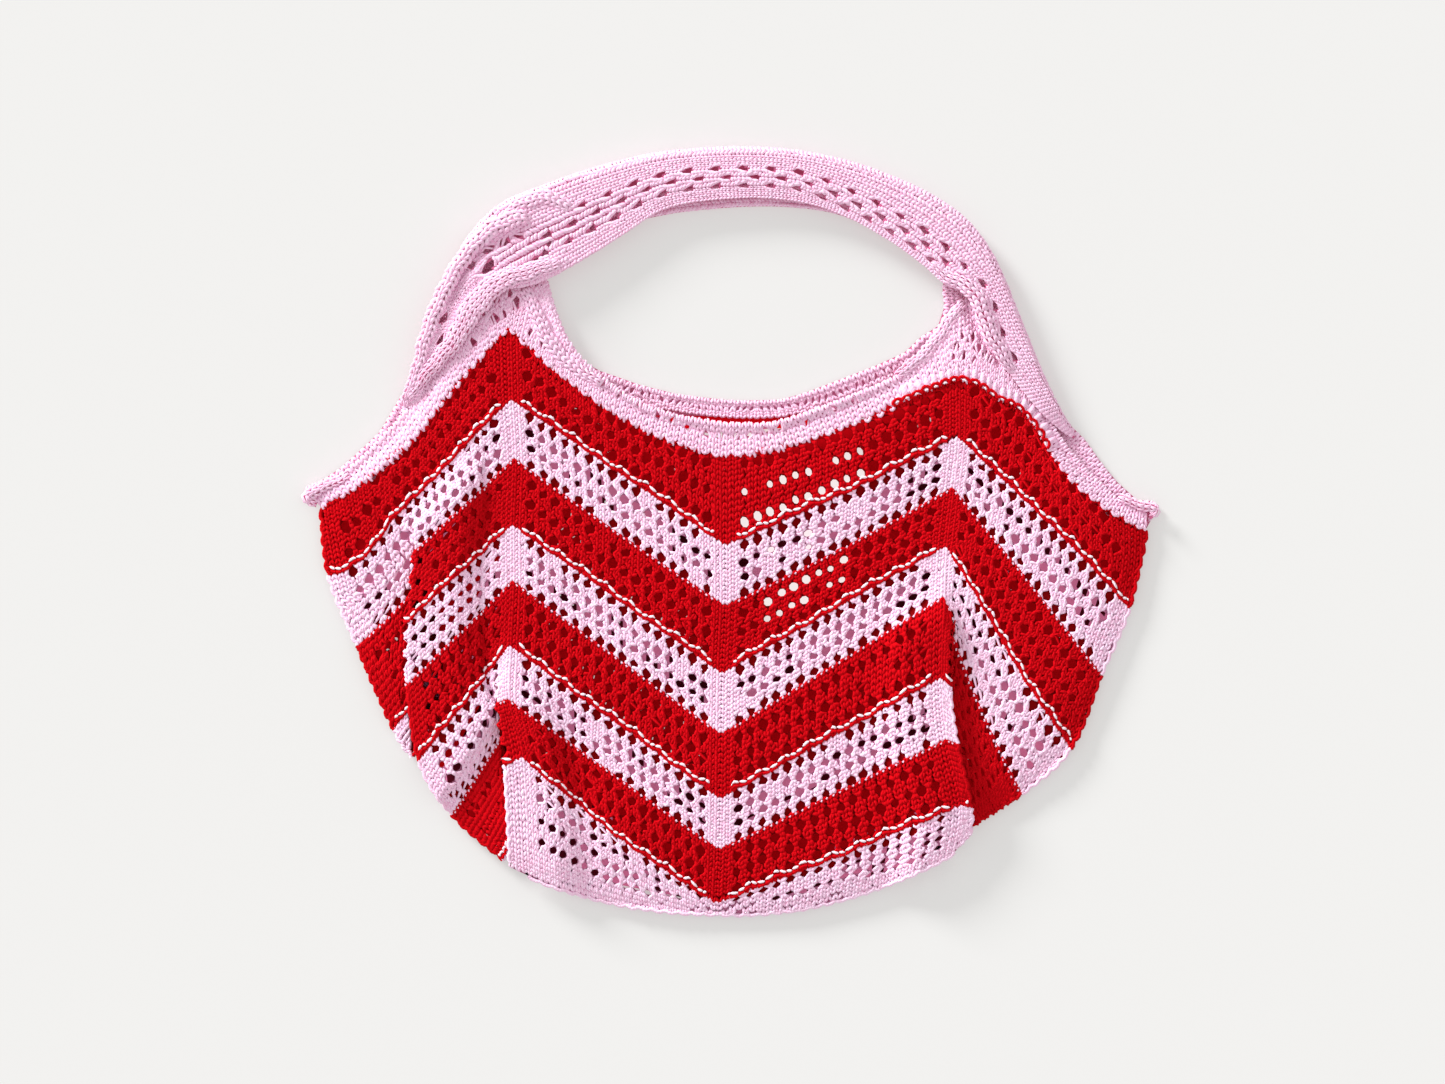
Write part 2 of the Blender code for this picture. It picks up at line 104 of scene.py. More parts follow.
# Each row is the top edge of a band, as in the solids
Row = namedtuple(
    "Row",
    "seam_left side_sag_left fold_a depth_a fold_b depth_b peak_left sag_left"
    " centre sag_right peak_right fold_c depth_c side_sag_right seam_right shoulder",
)
ROWS = {
    "trim": Row((322, 507), 4, (410, 443), 0, (492, 344), 0, (510, 328), 21,
                (725, 455), 11, (957, 378), (975, 382), 0, 17, (1146, 529), 23),
    "red_1": Row((330, 575), 13, (412, 503), 0, (496, 415), 0, (512, 400), 0,
                 (725, 545), 4, (957, 437), (972, 451), 0, -4, (1128, 608), 0),
    "pink_1": Row((358, 645), 4, (416, 551), 17, (502, 470), 0, (515, 458), 2,
                  (725, 605), 3, (952, 487), (965, 503), 0, -2, (1100, 674), 0),
    "red_2": Row((395, 729), 0, (409, 622), 38, (500, 536), 0, (513, 525), 0,
                 (722, 673), 0, (945, 546), (957, 565), 0, 6, (1070, 748), 0),
    "pink_2": Row((413, 756), 0, (410, 682), 36, (500, 593), 0, (513, 580), 0,
                  (721, 733), 0, (942, 597), (951, 618), 6, 8, (1021, 793), 0),
    "red_3": Row((433, 782), 0, (421, 759), 36, (499, 660), 2, (510, 645), 0,
                 (720, 798), 0, (940, 677), (948, 686), 26, 0, (968, 828), 0),
    "pink_3": Row((458, 822), 0, (453, 813), 0, (498, 702), 10, (509, 698), 0,
                  (719, 848), 0, (945, 738), (955, 742), 28, 0, (957, 850), 0),
    "red_4": Row((511, 866), 0, (504, 858), 0, (507, 764), 18, (523, 756), 8,
                 (716, 902), 3, (960, 804), (969, 806), 24, 0, (944, 866), 0),
    "pink_4": Row((534, 881), 0, (528, 877), 0, (512, 867), 10, (529, 875), 10,
                  (716, 913), 18, (953, 852), (968, 836), 14, 0, (918, 878), 0),
}
SHOULDER_X, SHOULDER_WIDE = 1028, 28
BANDS = len(ROWS) - 1
COVERED_END_A, COVERED_END_B, COVERED_END_C = 4, 7, 5
FLAT_SPREAD = 8
V_STEPS = np.linspace(0, BANDS, BANDS * 20 + 1)

# For each band: how many courses it has, where its rows of gaps lie as shares of its height, and the
# gaps' half width and half height on the grid
Band = namedtuple("Band", "courses gap_rows half_wide half_tall")
PINK_ROWS, RED_ROWS = (0.10, 0.38, 0.66, 0.93), (0.25, 0.54, 0.82)
BAND_KNIT = (
    Band(16, (0.20, 0.51, 0.81), 4.9, 4.8), Band(13, PINK_ROWS, 4.6, 3.8),
    Band(14, RED_ROWS, 4.5, 4.0), Band(13, PINK_ROWS, 4.6, 3.8),
    Band(13, RED_ROWS, 4.5, 4.0), Band(13, PINK_ROWS, 4.6, 3.8),
    Band(13, RED_ROWS, 4.5, 3.9), Band(22, (0.08, 0.24, 0.42, 0.60), 4.4, 3.5),
)
# Inside the right pleat the fifth band is drawn out, so more of its rows and courses show there
DRAWN_ROWS = tuple(0.05 + 0.1 * n for n in range(10))
DRAWN_KNIT = (*BAND_KNIT[:4], Band(39, DRAWN_ROWS, 4.5, 4.2), *BAND_KNIT[5:])
ARM_WALES = 36
WALE = 7.0
# The usual distances on the grid: between the net's wales, its rows of gaps and the trim's wales
NET_PITCH, ROW_PITCH, TRIM_PITCH = 6.9, 17, 6.4
GAP_YARN = 1.5
GAP_SIZES, GAP_TALLS = (0.75, 1.15), (0.88, 1.12)
SHUT_EDGE = 0.15
LIT_COLUMNS_WIDE, LIT_COLUMNS_TALL = 0.85, 0.92

SILHOUETTE = (
    (303, 488), (321, 506), (324, 532), (331, 585), (348, 634), (368, 686), (395, 729), (420, 769),
    (451, 812), (482, 848), (511, 867), (547, 885), (580, 900), (637, 904), (715, 914), (800, 912),
    (860, 898), (905, 884), (949, 859), (967, 834), (1000, 805), (1026, 788), (1060, 755),
    (1087, 715), (1106, 670), (1122, 625), (1139, 560), (1151, 524), (1159, 506),
)

# The front yoke: x and y on the net's top edge, x and y on its own upper edge, its height there and
# how far its roll stands up, both in mm
FRONT_YOKE = (
    (322, 507, 309, 490, 3.9, 0.6), (336, 497, 325, 481, 4.1, 0.8), (352, 489, 342, 473, 4.2, 0.8),
    (369, 479, 358, 460, 4.4, 0.8), (384, 467, 370, 449, 4.4, 0.8), (398, 456, 384, 434, 4.6, 0.7),
    (410, 443, 398, 420, 4.7, 0.6), (421, 431, 408, 406, 4.8, 0.5), (432, 417, 416, 392, 4.9, 0.3),
    (441, 403, 428, 372, 5.4, 0.2), (452, 388, 438, 350, 5.8, 0.2), (464, 374, 450, 324, 6.2, 0.2),
    (478, 361, 464, 300, 6.4, 0.2), (492, 344, 482, 279, 6.4, 0.2), (501, 335, 498, 268, 6.4, 0.2),
    (510, 328, 516, 264, 6.4, 0.2), (519, 335, 535, 265, 6.4, 0.2), (530, 345, 545, 275, 6.5, 0.3),
    (542, 357, 551, 297, 6.8, 0.5), (554, 369, 558, 318, 7.1, 0.7), (566, 378, 567, 338, 7.4, 0.9),
    (577, 386, 579, 355, 7.6, 1.1), (590, 395, 593, 369, 7.9, 1.2), (605, 405, 608, 381, 8.0, 1.2),
    (625, 418, 630, 396, 8.0, 1.2), (650, 432, 655, 408, 8.0, 1.2), (680, 443, 684, 416, 8.0, 1.2),
    (720, 454, 722, 422, 8.0, 1.2), (746, 454, 745, 423, 8.0, 1.2), (778, 449, 772, 422, 8.0, 1.2),
    (807, 439, 800, 414, 8.0, 1.2), (836, 429, 828, 404, 8.0, 1.2), (865, 417, 856, 393, 7.9, 1.1),
    (890, 404, 880, 383, 7.8, 1.0), (908, 396, 898, 374, 7.5, 0.8), (923, 390, 912, 364, 7.2, 0.6),
    (936, 385, 925, 350, 6.9, 0.4), (947, 381, 937, 334, 6.6, 0.3), (957, 378, 950, 311, 6.4, 0.2),
    (966, 380, 963, 298, 6.4, 0.2), (975, 382, 977, 299, 6.4, 0.2), (985, 388, 988, 310, 6.4, 0.2),
    (994, 395, 999, 328, 6.4, 0.2), (1007, 401, 1010, 350, 6.2, 0.2),
    (1018, 407, 1024, 376, 5.7, 0.2), (1028, 416, 1038, 398, 5.2, 0.3),
    (1035, 425, 1049, 416, 4.9, 0.5), (1042, 437, 1056, 430, 4.8, 0.7),
    (1050, 451, 1065, 443, 4.8, 0.7), (1060, 465, 1076, 457, 4.6, 0.8),
    (1078, 486, 1092, 475, 4.5, 0.8), (1095, 500, 1107, 488, 4.3, 0.8),
    (1111, 511, 1120, 500, 4.2, 0.8), (1128, 521, 1133, 508, 4.0, 0.8),
    (1146, 529, 1147, 514, 3.9, 0.6),
)
YOKE_PITCH = 6.6
RECESS = ((966, 306), (973, 322), (979, 338), (988, 352), (998, 364))
RECESS_DEEP = 0.0026
YOKE_CLEAR = 0.0005
YOKE_COURSE = 5.5
TEETH, TEETH_WIDE = (0.10, 0.02, 0.07, 0.04), 32
PETAL_PITCH, PETAL_LONG, SCALLOP_PITCH = 8.0, 12.0, 10.5
# Its gaps: round ones under the mouth's band, then others with their half length, half height and
# slant in degrees
YOKE_DOTS = (
    (601, 384), (619, 396), (639, 407), (657, 416), (673, 423), (687, 428), (706, 433), (721, 435),
    (735, 435), (748, 435), (765, 433), (783, 430), (806, 423), (833, 412), (856, 401),
)
YOKE_DOT = 1.7
YOKE_SLITS = (
    ((516, 304), 4.2, 3.0, 80), ((513, 292), 2.4, 1.6, 60), ((495, 320), 4.6, 2.6, 0),
    ((476, 322), 1.4, 2.8, 0), ((475, 342), 2.8, 2.8, 0), ((485, 311), 1.5, 2.6, 0),
    ((495, 301), 2.0, 1.6, 0), ((504, 315), 1.4, 2.0, 0), ((539, 330), 1.6, 4.2, 30),
    ((543, 345), 1.8, 3.4, 35), ((532, 334), 1.6, 2.2, 40), ((527, 289), 1.6, 3.0, 20),
    ((956, 345), 3.4, 1.6, 30), ((972, 337), 3.2, 1.7, 30), ((977, 349), 2.8, 2.0, 10),
    ((984, 354), 1.8, 1.6, 0), ((991, 357), 1.8, 1.6, 0), ((961, 355), 3.6, 1.5, 30),
    ((961, 336), 1.6, 1.3, 0), ((973, 362), 1.8, 1.3, -20), ((952, 358), 1.7, 1.2, 0),
)
# Its rolls, with x, y, half width and height in mm, and their wales: the corners' knobs, the tab's
# edge and the tongue's edge
YOKE_ROLLS = (
    (((350, 474, 3.0, 1.6), (335, 482, 4.0, 2.0), (320, 489, 4.6, 2.2), (310, 494, 5.0, 2.2),
      (309, 499, 4.6, 2.0), (318, 504, 3.2, 1.4)), 2),
    (((1118, 496, 3.0, 1.6), (1132, 503, 3.5, 2.0), (1144, 506, 4.0, 2.2), (1152, 508, 4.0, 2.2),
      (1155, 512, 3.0, 2.0), (1149, 519, 2.5, 1.4)), 2),
    (((524, 288, 5.0, 1.0), (533, 306, 6.0, 1.2), (541, 325, 6.5, 1.2), (551, 343, 6.5, 1.2),
      (565, 359, 6.0, 1.2), (583, 373, 5.0, 1.1), (602, 384, 4.0, 0.9)), 2),
    (((964, 303, 3.0, 1.0), (956, 311, 4.5, 1.2), (949, 321, 5.0, 1.2), (939, 336, 5.0, 1.2),
      (926, 351, 5.0, 1.2), (912, 364, 4.5, 1.1), (895, 375, 4.0, 0.9)), 2),
)

# The back yoke's outer edge, and the line where it meets the back's net
BACK_EDGE = (
    (306, 489), (318, 483), (341, 468), (361, 450), (379, 433), (389, 417), (400, 398), (413, 380),
    (423, 358), (433, 330), (446, 295), (463, 266), (488, 252), (520, 254), (536, 272), (541, 300),
    (555, 335), (577, 358), (600, 371), (640, 385), (680, 395), (735, 401), (780, 400), (805, 393),
    (842, 379), (873, 367), (904, 353), (920, 338), (938, 326), (944, 308), (943, 284), (958, 262),
    (982, 266), (1003, 292), (1022, 330), (1040, 372), (1053, 398), (1070, 425), (1085, 440),
    (1102, 464), (1117, 482), (1137, 500), (1150, 501), (1157, 507), (1153, 516),
)
BACK_JOIN = (
    (321, 507), (369, 481), (420, 431), (460, 375), (510, 328), (556, 371), (617, 413), (650, 424),
    (672, 418), (725, 420), (792, 418), (812, 421), (841, 428), (907, 397), (957, 378), (1015, 427),
    (1070, 479), (1106, 510), (1146, 529),
)
# How wide it shows, on the grid, its courses, and the row of small gaps along its mouth
BACK_YOKE_SEEN = 30
BACK_YOKE_COURSES = 5
MOUTH_DOTS = ((626, 389), (680, 403), (735, 409), (790, 406), (842, 391), (890, 370))
MOUTH_DOT, MOUTH_DOT_PITCH = 1.2, 7.6

# The back's red strips under the front's first row of gaps: the line, and the way to its other side
RED_STRIPS = (
    (((640, 416), (672, 415), (725, 417), (792, 415), (820, 412)), (0, 13)),
    (((880, 392), (935, 376), (990, 388), (1050, 435), (1134, 512)), (-12, 38)),
    (((512, 330), (480, 360), (440, 394), (380, 440), (332, 476)), (14, 30)),
    (((512, 332), (545, 352), (578, 379), (611, 396), (645, 410)), (-10, 20)),
)
# The back: how much its rim is drawn in and from where, how far its stripes are moved up, how far its
# gaps stay from the front's, and their sizes as shares of the usual and of the lit ones over them
BACK_MIDDLE, DRAWN_IN, DRAWN_FROM, DRAWN_OVER = (MIDDLE_X, 600.0), 0.028, 170, 80
BACK_STRIPE, BACK_CLEAR, BACK_GAP, BACK_LIT_GAP = 0.03, 6.6, 0.6, 0.92
# For each of the back's four cloths: the wales between which, and the band down to which, its pink
# stripes are mostly light. Then the shares of tiles painted in shade there, elsewhere and in the last
# band
LIGHT_PARTS = ((2, 28, 8), (7, 33, 8), (1, 99, 5), (12, 99, 8))
SHADE_TILE_SHARES = (0.2, 0.8, 0.45)
# Where the floor shows through both nets, right of the middle: wales, bands and the share of gaps
LIT_PARTS = ((14, 99, 0.4, 1, 0.96), (15, 31, 2, 2.7, 0.62), (19, 31, 1.2, 1.8, 0.4))

# The handle, section by section, as in the solids: x and y of its fold, x and y of its upper layer's
# free edge, its lower layer's share of the width, and the lower and the upper layer's height in mm
HANDLE = (
    (400, 412, 406, 413, 0.55, 2.6, 3.4), (405, 400, 419, 400, 0.55, 3.0, 6.0),
    (408, 392, 423, 391, 0.55, 3.6, 7.4), (413, 381, 426, 378, 0.55, 3.8, 8.4),
    (422, 356, 441, 353, 0.45, 3.8, 9.0), (429, 331, 450, 331, 0.40, 3.8, 9.4),
    (438, 303, 465, 307, 0.40, 3.8, 9.6), (450, 271, 485, 287, 0.40, 3.8, 10.0),
    (468, 238, 515, 289, 0.35, 3.8, 10.6), (500, 206, 546, 281, 0.80, 3.6, 10.8),
    (546, 186, 583, 261, 0.94, 2.8, 10.2), (601, 167, 623, 236, 0.85, 1.7, 9.4),
    (662, 153, 668, 209, 1.10, 1.2, 9.0), (735, 148, 737, 199, 1.17, 1.2, 9.0),
    (801, 152, 795, 202, 1.12, 1.2, 9.0), (862, 166, 842, 216, 1.00, 1.2, 9.2),
    (920, 190, 888, 241, 0.96, 1.7, 9.6), (962, 217, 920, 264, 0.94, 2.9, 10.2),
    (988, 248, 944, 285, 0.80, 3.8, 10.6), (1005, 279, 967, 294, 0.40, 3.8, 10.5),
    (1015, 304, 977, 309, 0.45, 3.8, 10.4), (1025, 330, 983, 330, 0.42, 3.8, 10.4),
    (1035, 354, 996, 354, 0.42, 3.8, 10.3), (1046, 380, 1016, 383, 0.40, 3.8, 10.0),
    (1058, 403, 1038, 410, 0.40, 3.8, 9.2), (1064, 414, 1049, 421, 0.40, 3.6, 7.6),
    (1070, 424, 1060, 430, 0.40, 3.2, 5.6), (1076, 435, 1073, 439, 0.40, 2.4, 3.2),
)
# The handle's three rows of eyelets: its fold's x, and their shares of the way from the upper layer's
# free edge to its fold. Then the wales they lie on, and the borders of the wales
EYELET_ROWS = (
    (0, 0.36, 0.53, 0.70), (662, 0.30, 0.52, 0.71), (735, 0.27, 0.50, 0.69),
    (801, 0.30, 0.50, 0.68), (862, 0.15, 0.34, 0.56), (920, 0.14, 0.32, 0.52),
    (988, 0.14, 0.34, 0.55), (1015, 0.12, 0.30, 0.53), (1046, 0.12, 0.24, 0.42),
)
EYELET_LINES = (2.85, 4.25, 5.65)
EYELET_PITCH, EYELET_LONG, EYELET_TALL = 7.0, 3.8, 1.8
HANDLE_WALE_EDGES = (0, 0.95, 1.9, 2.85, 4.25, 5.65, 6.45, 7.25, 8.0, 9.0, 10.0, 11.0)
HANDLE_WALES = 8
HANDLE_COURSE, ROLL_COURSE = 5.6, 6.6
# Raised and sunk lines on the handle: the line on the grid, its height in mm and its half width
HANDLE_RELIEF = (
    (((424, 345), (432, 318), (444, 288), (460, 258), (480, 240), (505, 224), (528, 214)), 0.7, 8),
    (((560, 262), (538, 271), (506, 282), (481, 293), (466, 311), (454, 329), (443, 348)), 0.9, 7),
    (((520, 233), (504, 240), (487, 248), (470, 263), (462, 278), (452, 300)), -2.2, 5),
    (((965, 279), (975, 296), (980, 314), (985, 331), (993, 346), (1001, 362)), 1.0, 6),
)
# Its section: shares of the way from the fold to the free edge, with the height there as a share of
# the rise from one layer to the other. The lower layer is flat
UPPER_PROFILE = ((1.0, 0.0), (0.72, 0.04), (0.40, 0.06), (0.12, 0.0))
FOLD_PROFILE = ((0.0, 0.30), (0.0, 0.70))
LOWER_PROFILE = (0.12, 0.55, 1.0)
# Its gaps at the twists, as the yoke's
HANDLE_SLITS = (
    ((505, 241), 4.6, 2.4, 25), ((489, 250), 4.2, 2.4, 35), ((472, 265), 3.6, 2.6, 50),
    ((520, 237), 3.2, 1.8, 15), ((489, 268), 7.5, 3.6, 50), ((445, 320), 4.2, 1.9, 45),
    ((442, 341), 5.0, 2.0, 40), ((551, 245), 2.2, 1.5, 0), ((535, 261), 2.0, 1.5, 0),
    ((555, 268), 1.8, 1.3, 0),
)
# The handle's rolls, as the yoke's: the left twist's bundle, the right twist's fold, the left twist's
# outer band with its lobe, and the petal past it
HANDLE_ROLLS = (
    (((409, 399, 3.5, 1.0), (419, 385, 5.0, 1.6), (430, 371, 6.5, 2.0), (442, 357, 7.0, 2.1),
      (453, 344, 8.0, 2.3), (462, 330, 9.0, 2.3), (469, 316, 10.5, 2.3), (479, 303, 11.0, 2.3),
      (490, 291, 10.5, 2.3), (504, 281, 9.5, 2.1), (520, 276, 8.5, 1.9), (537, 271, 7.5, 1.7),
      (552, 266, 6.0, 1.3), (564, 262, 4.0, 0.9)), 4),
    (((930, 264, 3.0, 0.7), (946, 277, 5.0, 1.4), (960, 284, 6.0, 2.4), (971, 292, 7.0, 3.0),
      (978, 303, 7.5, 3.2), (983, 316, 7.5, 3.2), (987, 329, 7.5, 3.0), (993, 341, 7.0, 2.7),
      (999, 351, 6.5, 2.2), (1005, 361, 5.5, 1.6), (1011, 371, 4.0, 1.0)), 3),
    (((404, 406, 3.0, 0.8), (411, 388, 4.5, 1.0), (419, 365, 5.0, 1.2), (424, 346, 6.0, 1.5),
      (430, 328, 6.5, 1.9), (438, 307, 7.0, 2.1), (448, 286, 7.0, 2.2), (460, 265, 7.0, 2.2),
      (475, 246, 7.5, 2.2), (491, 231, 7.5, 2.2), (507, 223, 8.0, 2.2), (520, 219, 7.5, 2.0),
      (529, 218, 5.0, 1.6)), 2),
    (((508, 211, 4.0, 1.2), (522, 204, 5.5, 1.4), (536, 199, 6.5, 1.5), (550, 199, 6.5, 1.5),
      (562, 204, 5.5, 1.3), (571, 211, 4.0, 1.0)), 2),
)

# Colours
# Each yarn's own colour, then its colour as it looks in shade: painted shade, mixed in at random
RED, RED_SHADED = (0.62, 0.001, 0.006), (0.34, 0.0, 0.002)
PINK, PINK_SHADED = (1.0, 0.75, 0.93), (0.90, 0.30, 0.53)
# The last trim colour is that of the base sheets under the trim and handle: the trim yarn as it looks in
# shade, painted shade
TRIM, TRIM_SHADED, TRIM_BASE_SHADE = (1.0, 0.70, 0.89), (0.88, 0.33, 0.55), (0.72, 0.17, 0.33)
CHAIN = (0.99, 0.86, 0.92)
# Painted shade: the back's pink is the pink yarn darkened as in shade, and the darkest colour is red
# yarn in deep shade, put on tiles of the back's pink stripes
BACK_PINK, BACK_SHADE = (0.88, 0.28, 0.50), (0.14, 0.007, 0.022)
# How strongly the back's net and the base sheets under the trim and handle glow: painted light in their
# shade
BACK_RED_GLOW, BACK_PINK_GLOW, TRIM_GLOW = 0.20, 0.27, 0.11
TONES = (0.82, 1.0)
# Base sheets lean further to their darker colour: painted shade between the stitches
BASE_SHADE_TONE = 0.9
SKY, SKY_STRENGTH = (1.0, 0.995, 0.985, 1), 0.74
SUN_STRENGTH, SUN_SPREAD, SUN_FROM = 4.4, 16, (-0.58, 0.60, 0.28)
FLOOR, FLOOR_LIGHT = (0.388, 0.386, 0.381), (1, 0.99, 0.975, 1)
# The floor's even glow, and a painted pool of light in a spot under the bag's right middle
FLOOR_GLOW, SPOT_GLOW = 0.43, 0.8
SPOT, SPOT_RADIUS, SPOT_EDGE = (803, 530), 0.067, 0.4


def world(places, height=0.0):
    """Places on the drafting grid as points in metres."""
    places = np.asarray(places, float)
    x = (places[..., 0] - MIDDLE_X) * GRID
    y = (MIDDLE_Y - places[..., 1]) * GRID
    return np.stack([x, y, np.broadcast_to(height, x.shape)], -1)


def ease(t):
    t = np.clip(t, 0.0, 1.0)
    return t * t * (3 - 2 * t)


def unit(vectors):
    length = np.linalg.norm(vectors, axis=-1, keepdims=True)
    return vectors / np.maximum(length, 1e-12)


def run_along(line):
    """How far each point is along a line."""
    return np.append(0, np.cumsum(np.linalg.norm(np.diff(line, axis=0), axis=1)))


def smooth_between(points, k, t):
    """A smooth curve through a list of points, t of the way from point k to the next."""
    a, b = points[k], points[k + 1]
    before = points[max(k - 1, 0)]
    after = points[min(k + 2, len(points) - 1)]
    return (
        b * (3 * t * t - 2 * t**3)
        + a * (1 - 3 * t * t + 2 * t**3)
        + (b - before) / 2 * (t - 2 * t * t + t**3)
        + (after - a) / 2 * (t**3 - t * t)
    )


def smooth_line(points, steps=8):
    points = np.asarray(points, float)
    line = [smooth_between(points, k, n / steps) for k in range(len(points) - 1) for n in range(steps)]
    return np.array([*line, points[-1]])


def resampled(line, step):
    """Points every step along a line, and how long it is."""
    run = run_along(line)
    at = np.linspace(0, run[-1], max(int(round(run[-1] / step)), 2) + 1)
    return np.column_stack([np.interp(at, run, column) for column in line.T]), run[-1]


def row_at(v):
    """The row at v, which counts bands from the trim down."""
    k = min(int(v), BANDS - 1)
    numbers = smooth_between([np.hstack(row).astype(float) for row in ROWS.values()], k, v - k)
    parts = np.split(numbers, np.cumsum([np.size(field) for field in ROWS["trim"]])[:-1])
    row = Row(*(part if len(part) > 1 else float(part[0]) for part in parts))
    depths = ("depth_a", "depth_b", "depth_c", "shoulder")
    return row._replace(**{name: max(getattr(row, name), 0) for name in depths})


def distance_to_line(places, line):
    best = np.full(len(places), np.inf)
    line = np.asarray(line, float)
    for a, b in zip(line[:-1], line[1:]):
        d = b - a
        t = np.clip(((places - a) @ d) / (d @ d), 0, 1)
        best = np.minimum(best, np.linalg.norm(places - a - t[:, None] * d, axis=1))
    return best


def crown(places):
    """The height of the front's middle surface over places on the grid, in metres, with slow waves."""
    far = distance_to_line(places, SILHOUETTE) * GRID
    rise = 1 - np.exp(-far / CROWN_REACH)
    x, y = places[:, 0], places[:, 1]
    waves = np.sin(x / 37 + 1.3) * np.sin(y / 29) + 0.6 * np.sin((x + 1.7 * y) / 61)
    return EDGE_LEVEL + CROWN_RISE * rise + UNEVEN * waves * rise


def lifted(points):
    heights = crown(points[:, :2]) + points[:, 2] * PLEAT_STEP
    return world(points[:, :2], heights)


def pleat(edge, depth, towards):
    """A pleat's turns on the grid with their lifts, from the covered cloth to the rounded upper edge."""
    amount = float(ease((depth - 1) / 10))
    rise = float(ease(depth / 12))
    side = np.array([np.sign(towards[0]), 0.0])
    drop = abs(towards[1] / max(abs(towards[0]), 0.35))
    deep = side * depth + np.array([0, depth * drop])
    flat = [-towards * FLAT_SPREAD * n for n in (3, 2, 1, 0)]
    shut = [deep + [0, 1.0], deep, side * 0.6, np.zeros(2)]
    turns = [
        np.append(edge + f * (1 - amount) + s * amount, lift * rise)
        for f, s, lift in zip(flat, shut, (0.0, 0.95, 1.05, 2.0))
    ]
    bend = [
        turns[2] + (turns[3] - turns[2]) * t - np.append(side * 2.2 * math.sin(math.pi * t) * amount, 0)
        for t in (0.25, 0.5, 0.75)
    ]
    return np.array([*turns[:3], *bend, turns[3]])


def stretch(start, end, sag, lift=0.0, hold=0.0, steps=24):
    """Points along a stretch of a row, with the lift that is kept over the hold and falls after it."""
    s = np.linspace(0, 1, steps + 1)
    places = start + (end - start) * s[:, None]
    places[:, 1] += 4 * sag * s * (1 - s)
    far = np.abs(places[:, 0] - start[0]) * GRID
    return np.column_stack([places, lift * (1 - ease((far - hold) / PLEAT_FALL))])


def left_row(row, v):
    """A row from the left peak out to the seam: its points, its folds as (first point, depth), its last
    point and the counts of wales between its folds."""
    along_a = unit(row.peak_left - row.fold_a if row.depth_a > 0 else row.fold_a - row.seam_left)
    a = pleat(row.fold_a, row.depth_a, along_a)[::-1]
    b = pleat(row.fold_b, row.depth_b, unit(row.fold_b - row.fold_a))[::-1]
    middle = stretch(a[0, :2], b[-1, :2], 0.0, a[0, 2], PLEAT_HOLD["a"], 24)[::-1]
    side = stretch(row.seam_left, a[-1, :2], row.side_sag_left, steps=24)[::-1]
    peak = np.append(row.peak_left, b[0, 2])[None]
    points = np.vstack([peak, b, middle[1:-1], a, side[1:]])
    top_a = len(b) + len(middle) - 1
    last = len(points) - 1 if v <= COVERED_END_A else top_a if v <= COVERED_END_B else 1
    return points, ((1, row.depth_b), (top_a, row.depth_a)), last, (2.6, 18.0)


def right_row(row, v):
    """A row from the right peak out to the seam, as left_row() gives it."""
    c = pleat(row.fold_c, row.depth_c, unit(row.fold_c - row.seam_right))[::-1]
    side = stretch(c[-1, :2], row.seam_right, row.side_sag_right, steps=36)
    side[:, 1] -= row.shoulder * np.exp(-(((side[:, 0] - SHOULDER_X) / SHOULDER_WIDE) ** 2))
    peak = np.append(row.peak_right, c[0, 2])[None]
    points = np.vstack([peak, c, side[1:]])
    return points, ((1, row.depth_c),), len(points) - 1 if v <= COVERED_END_C else 1, (3.0,)


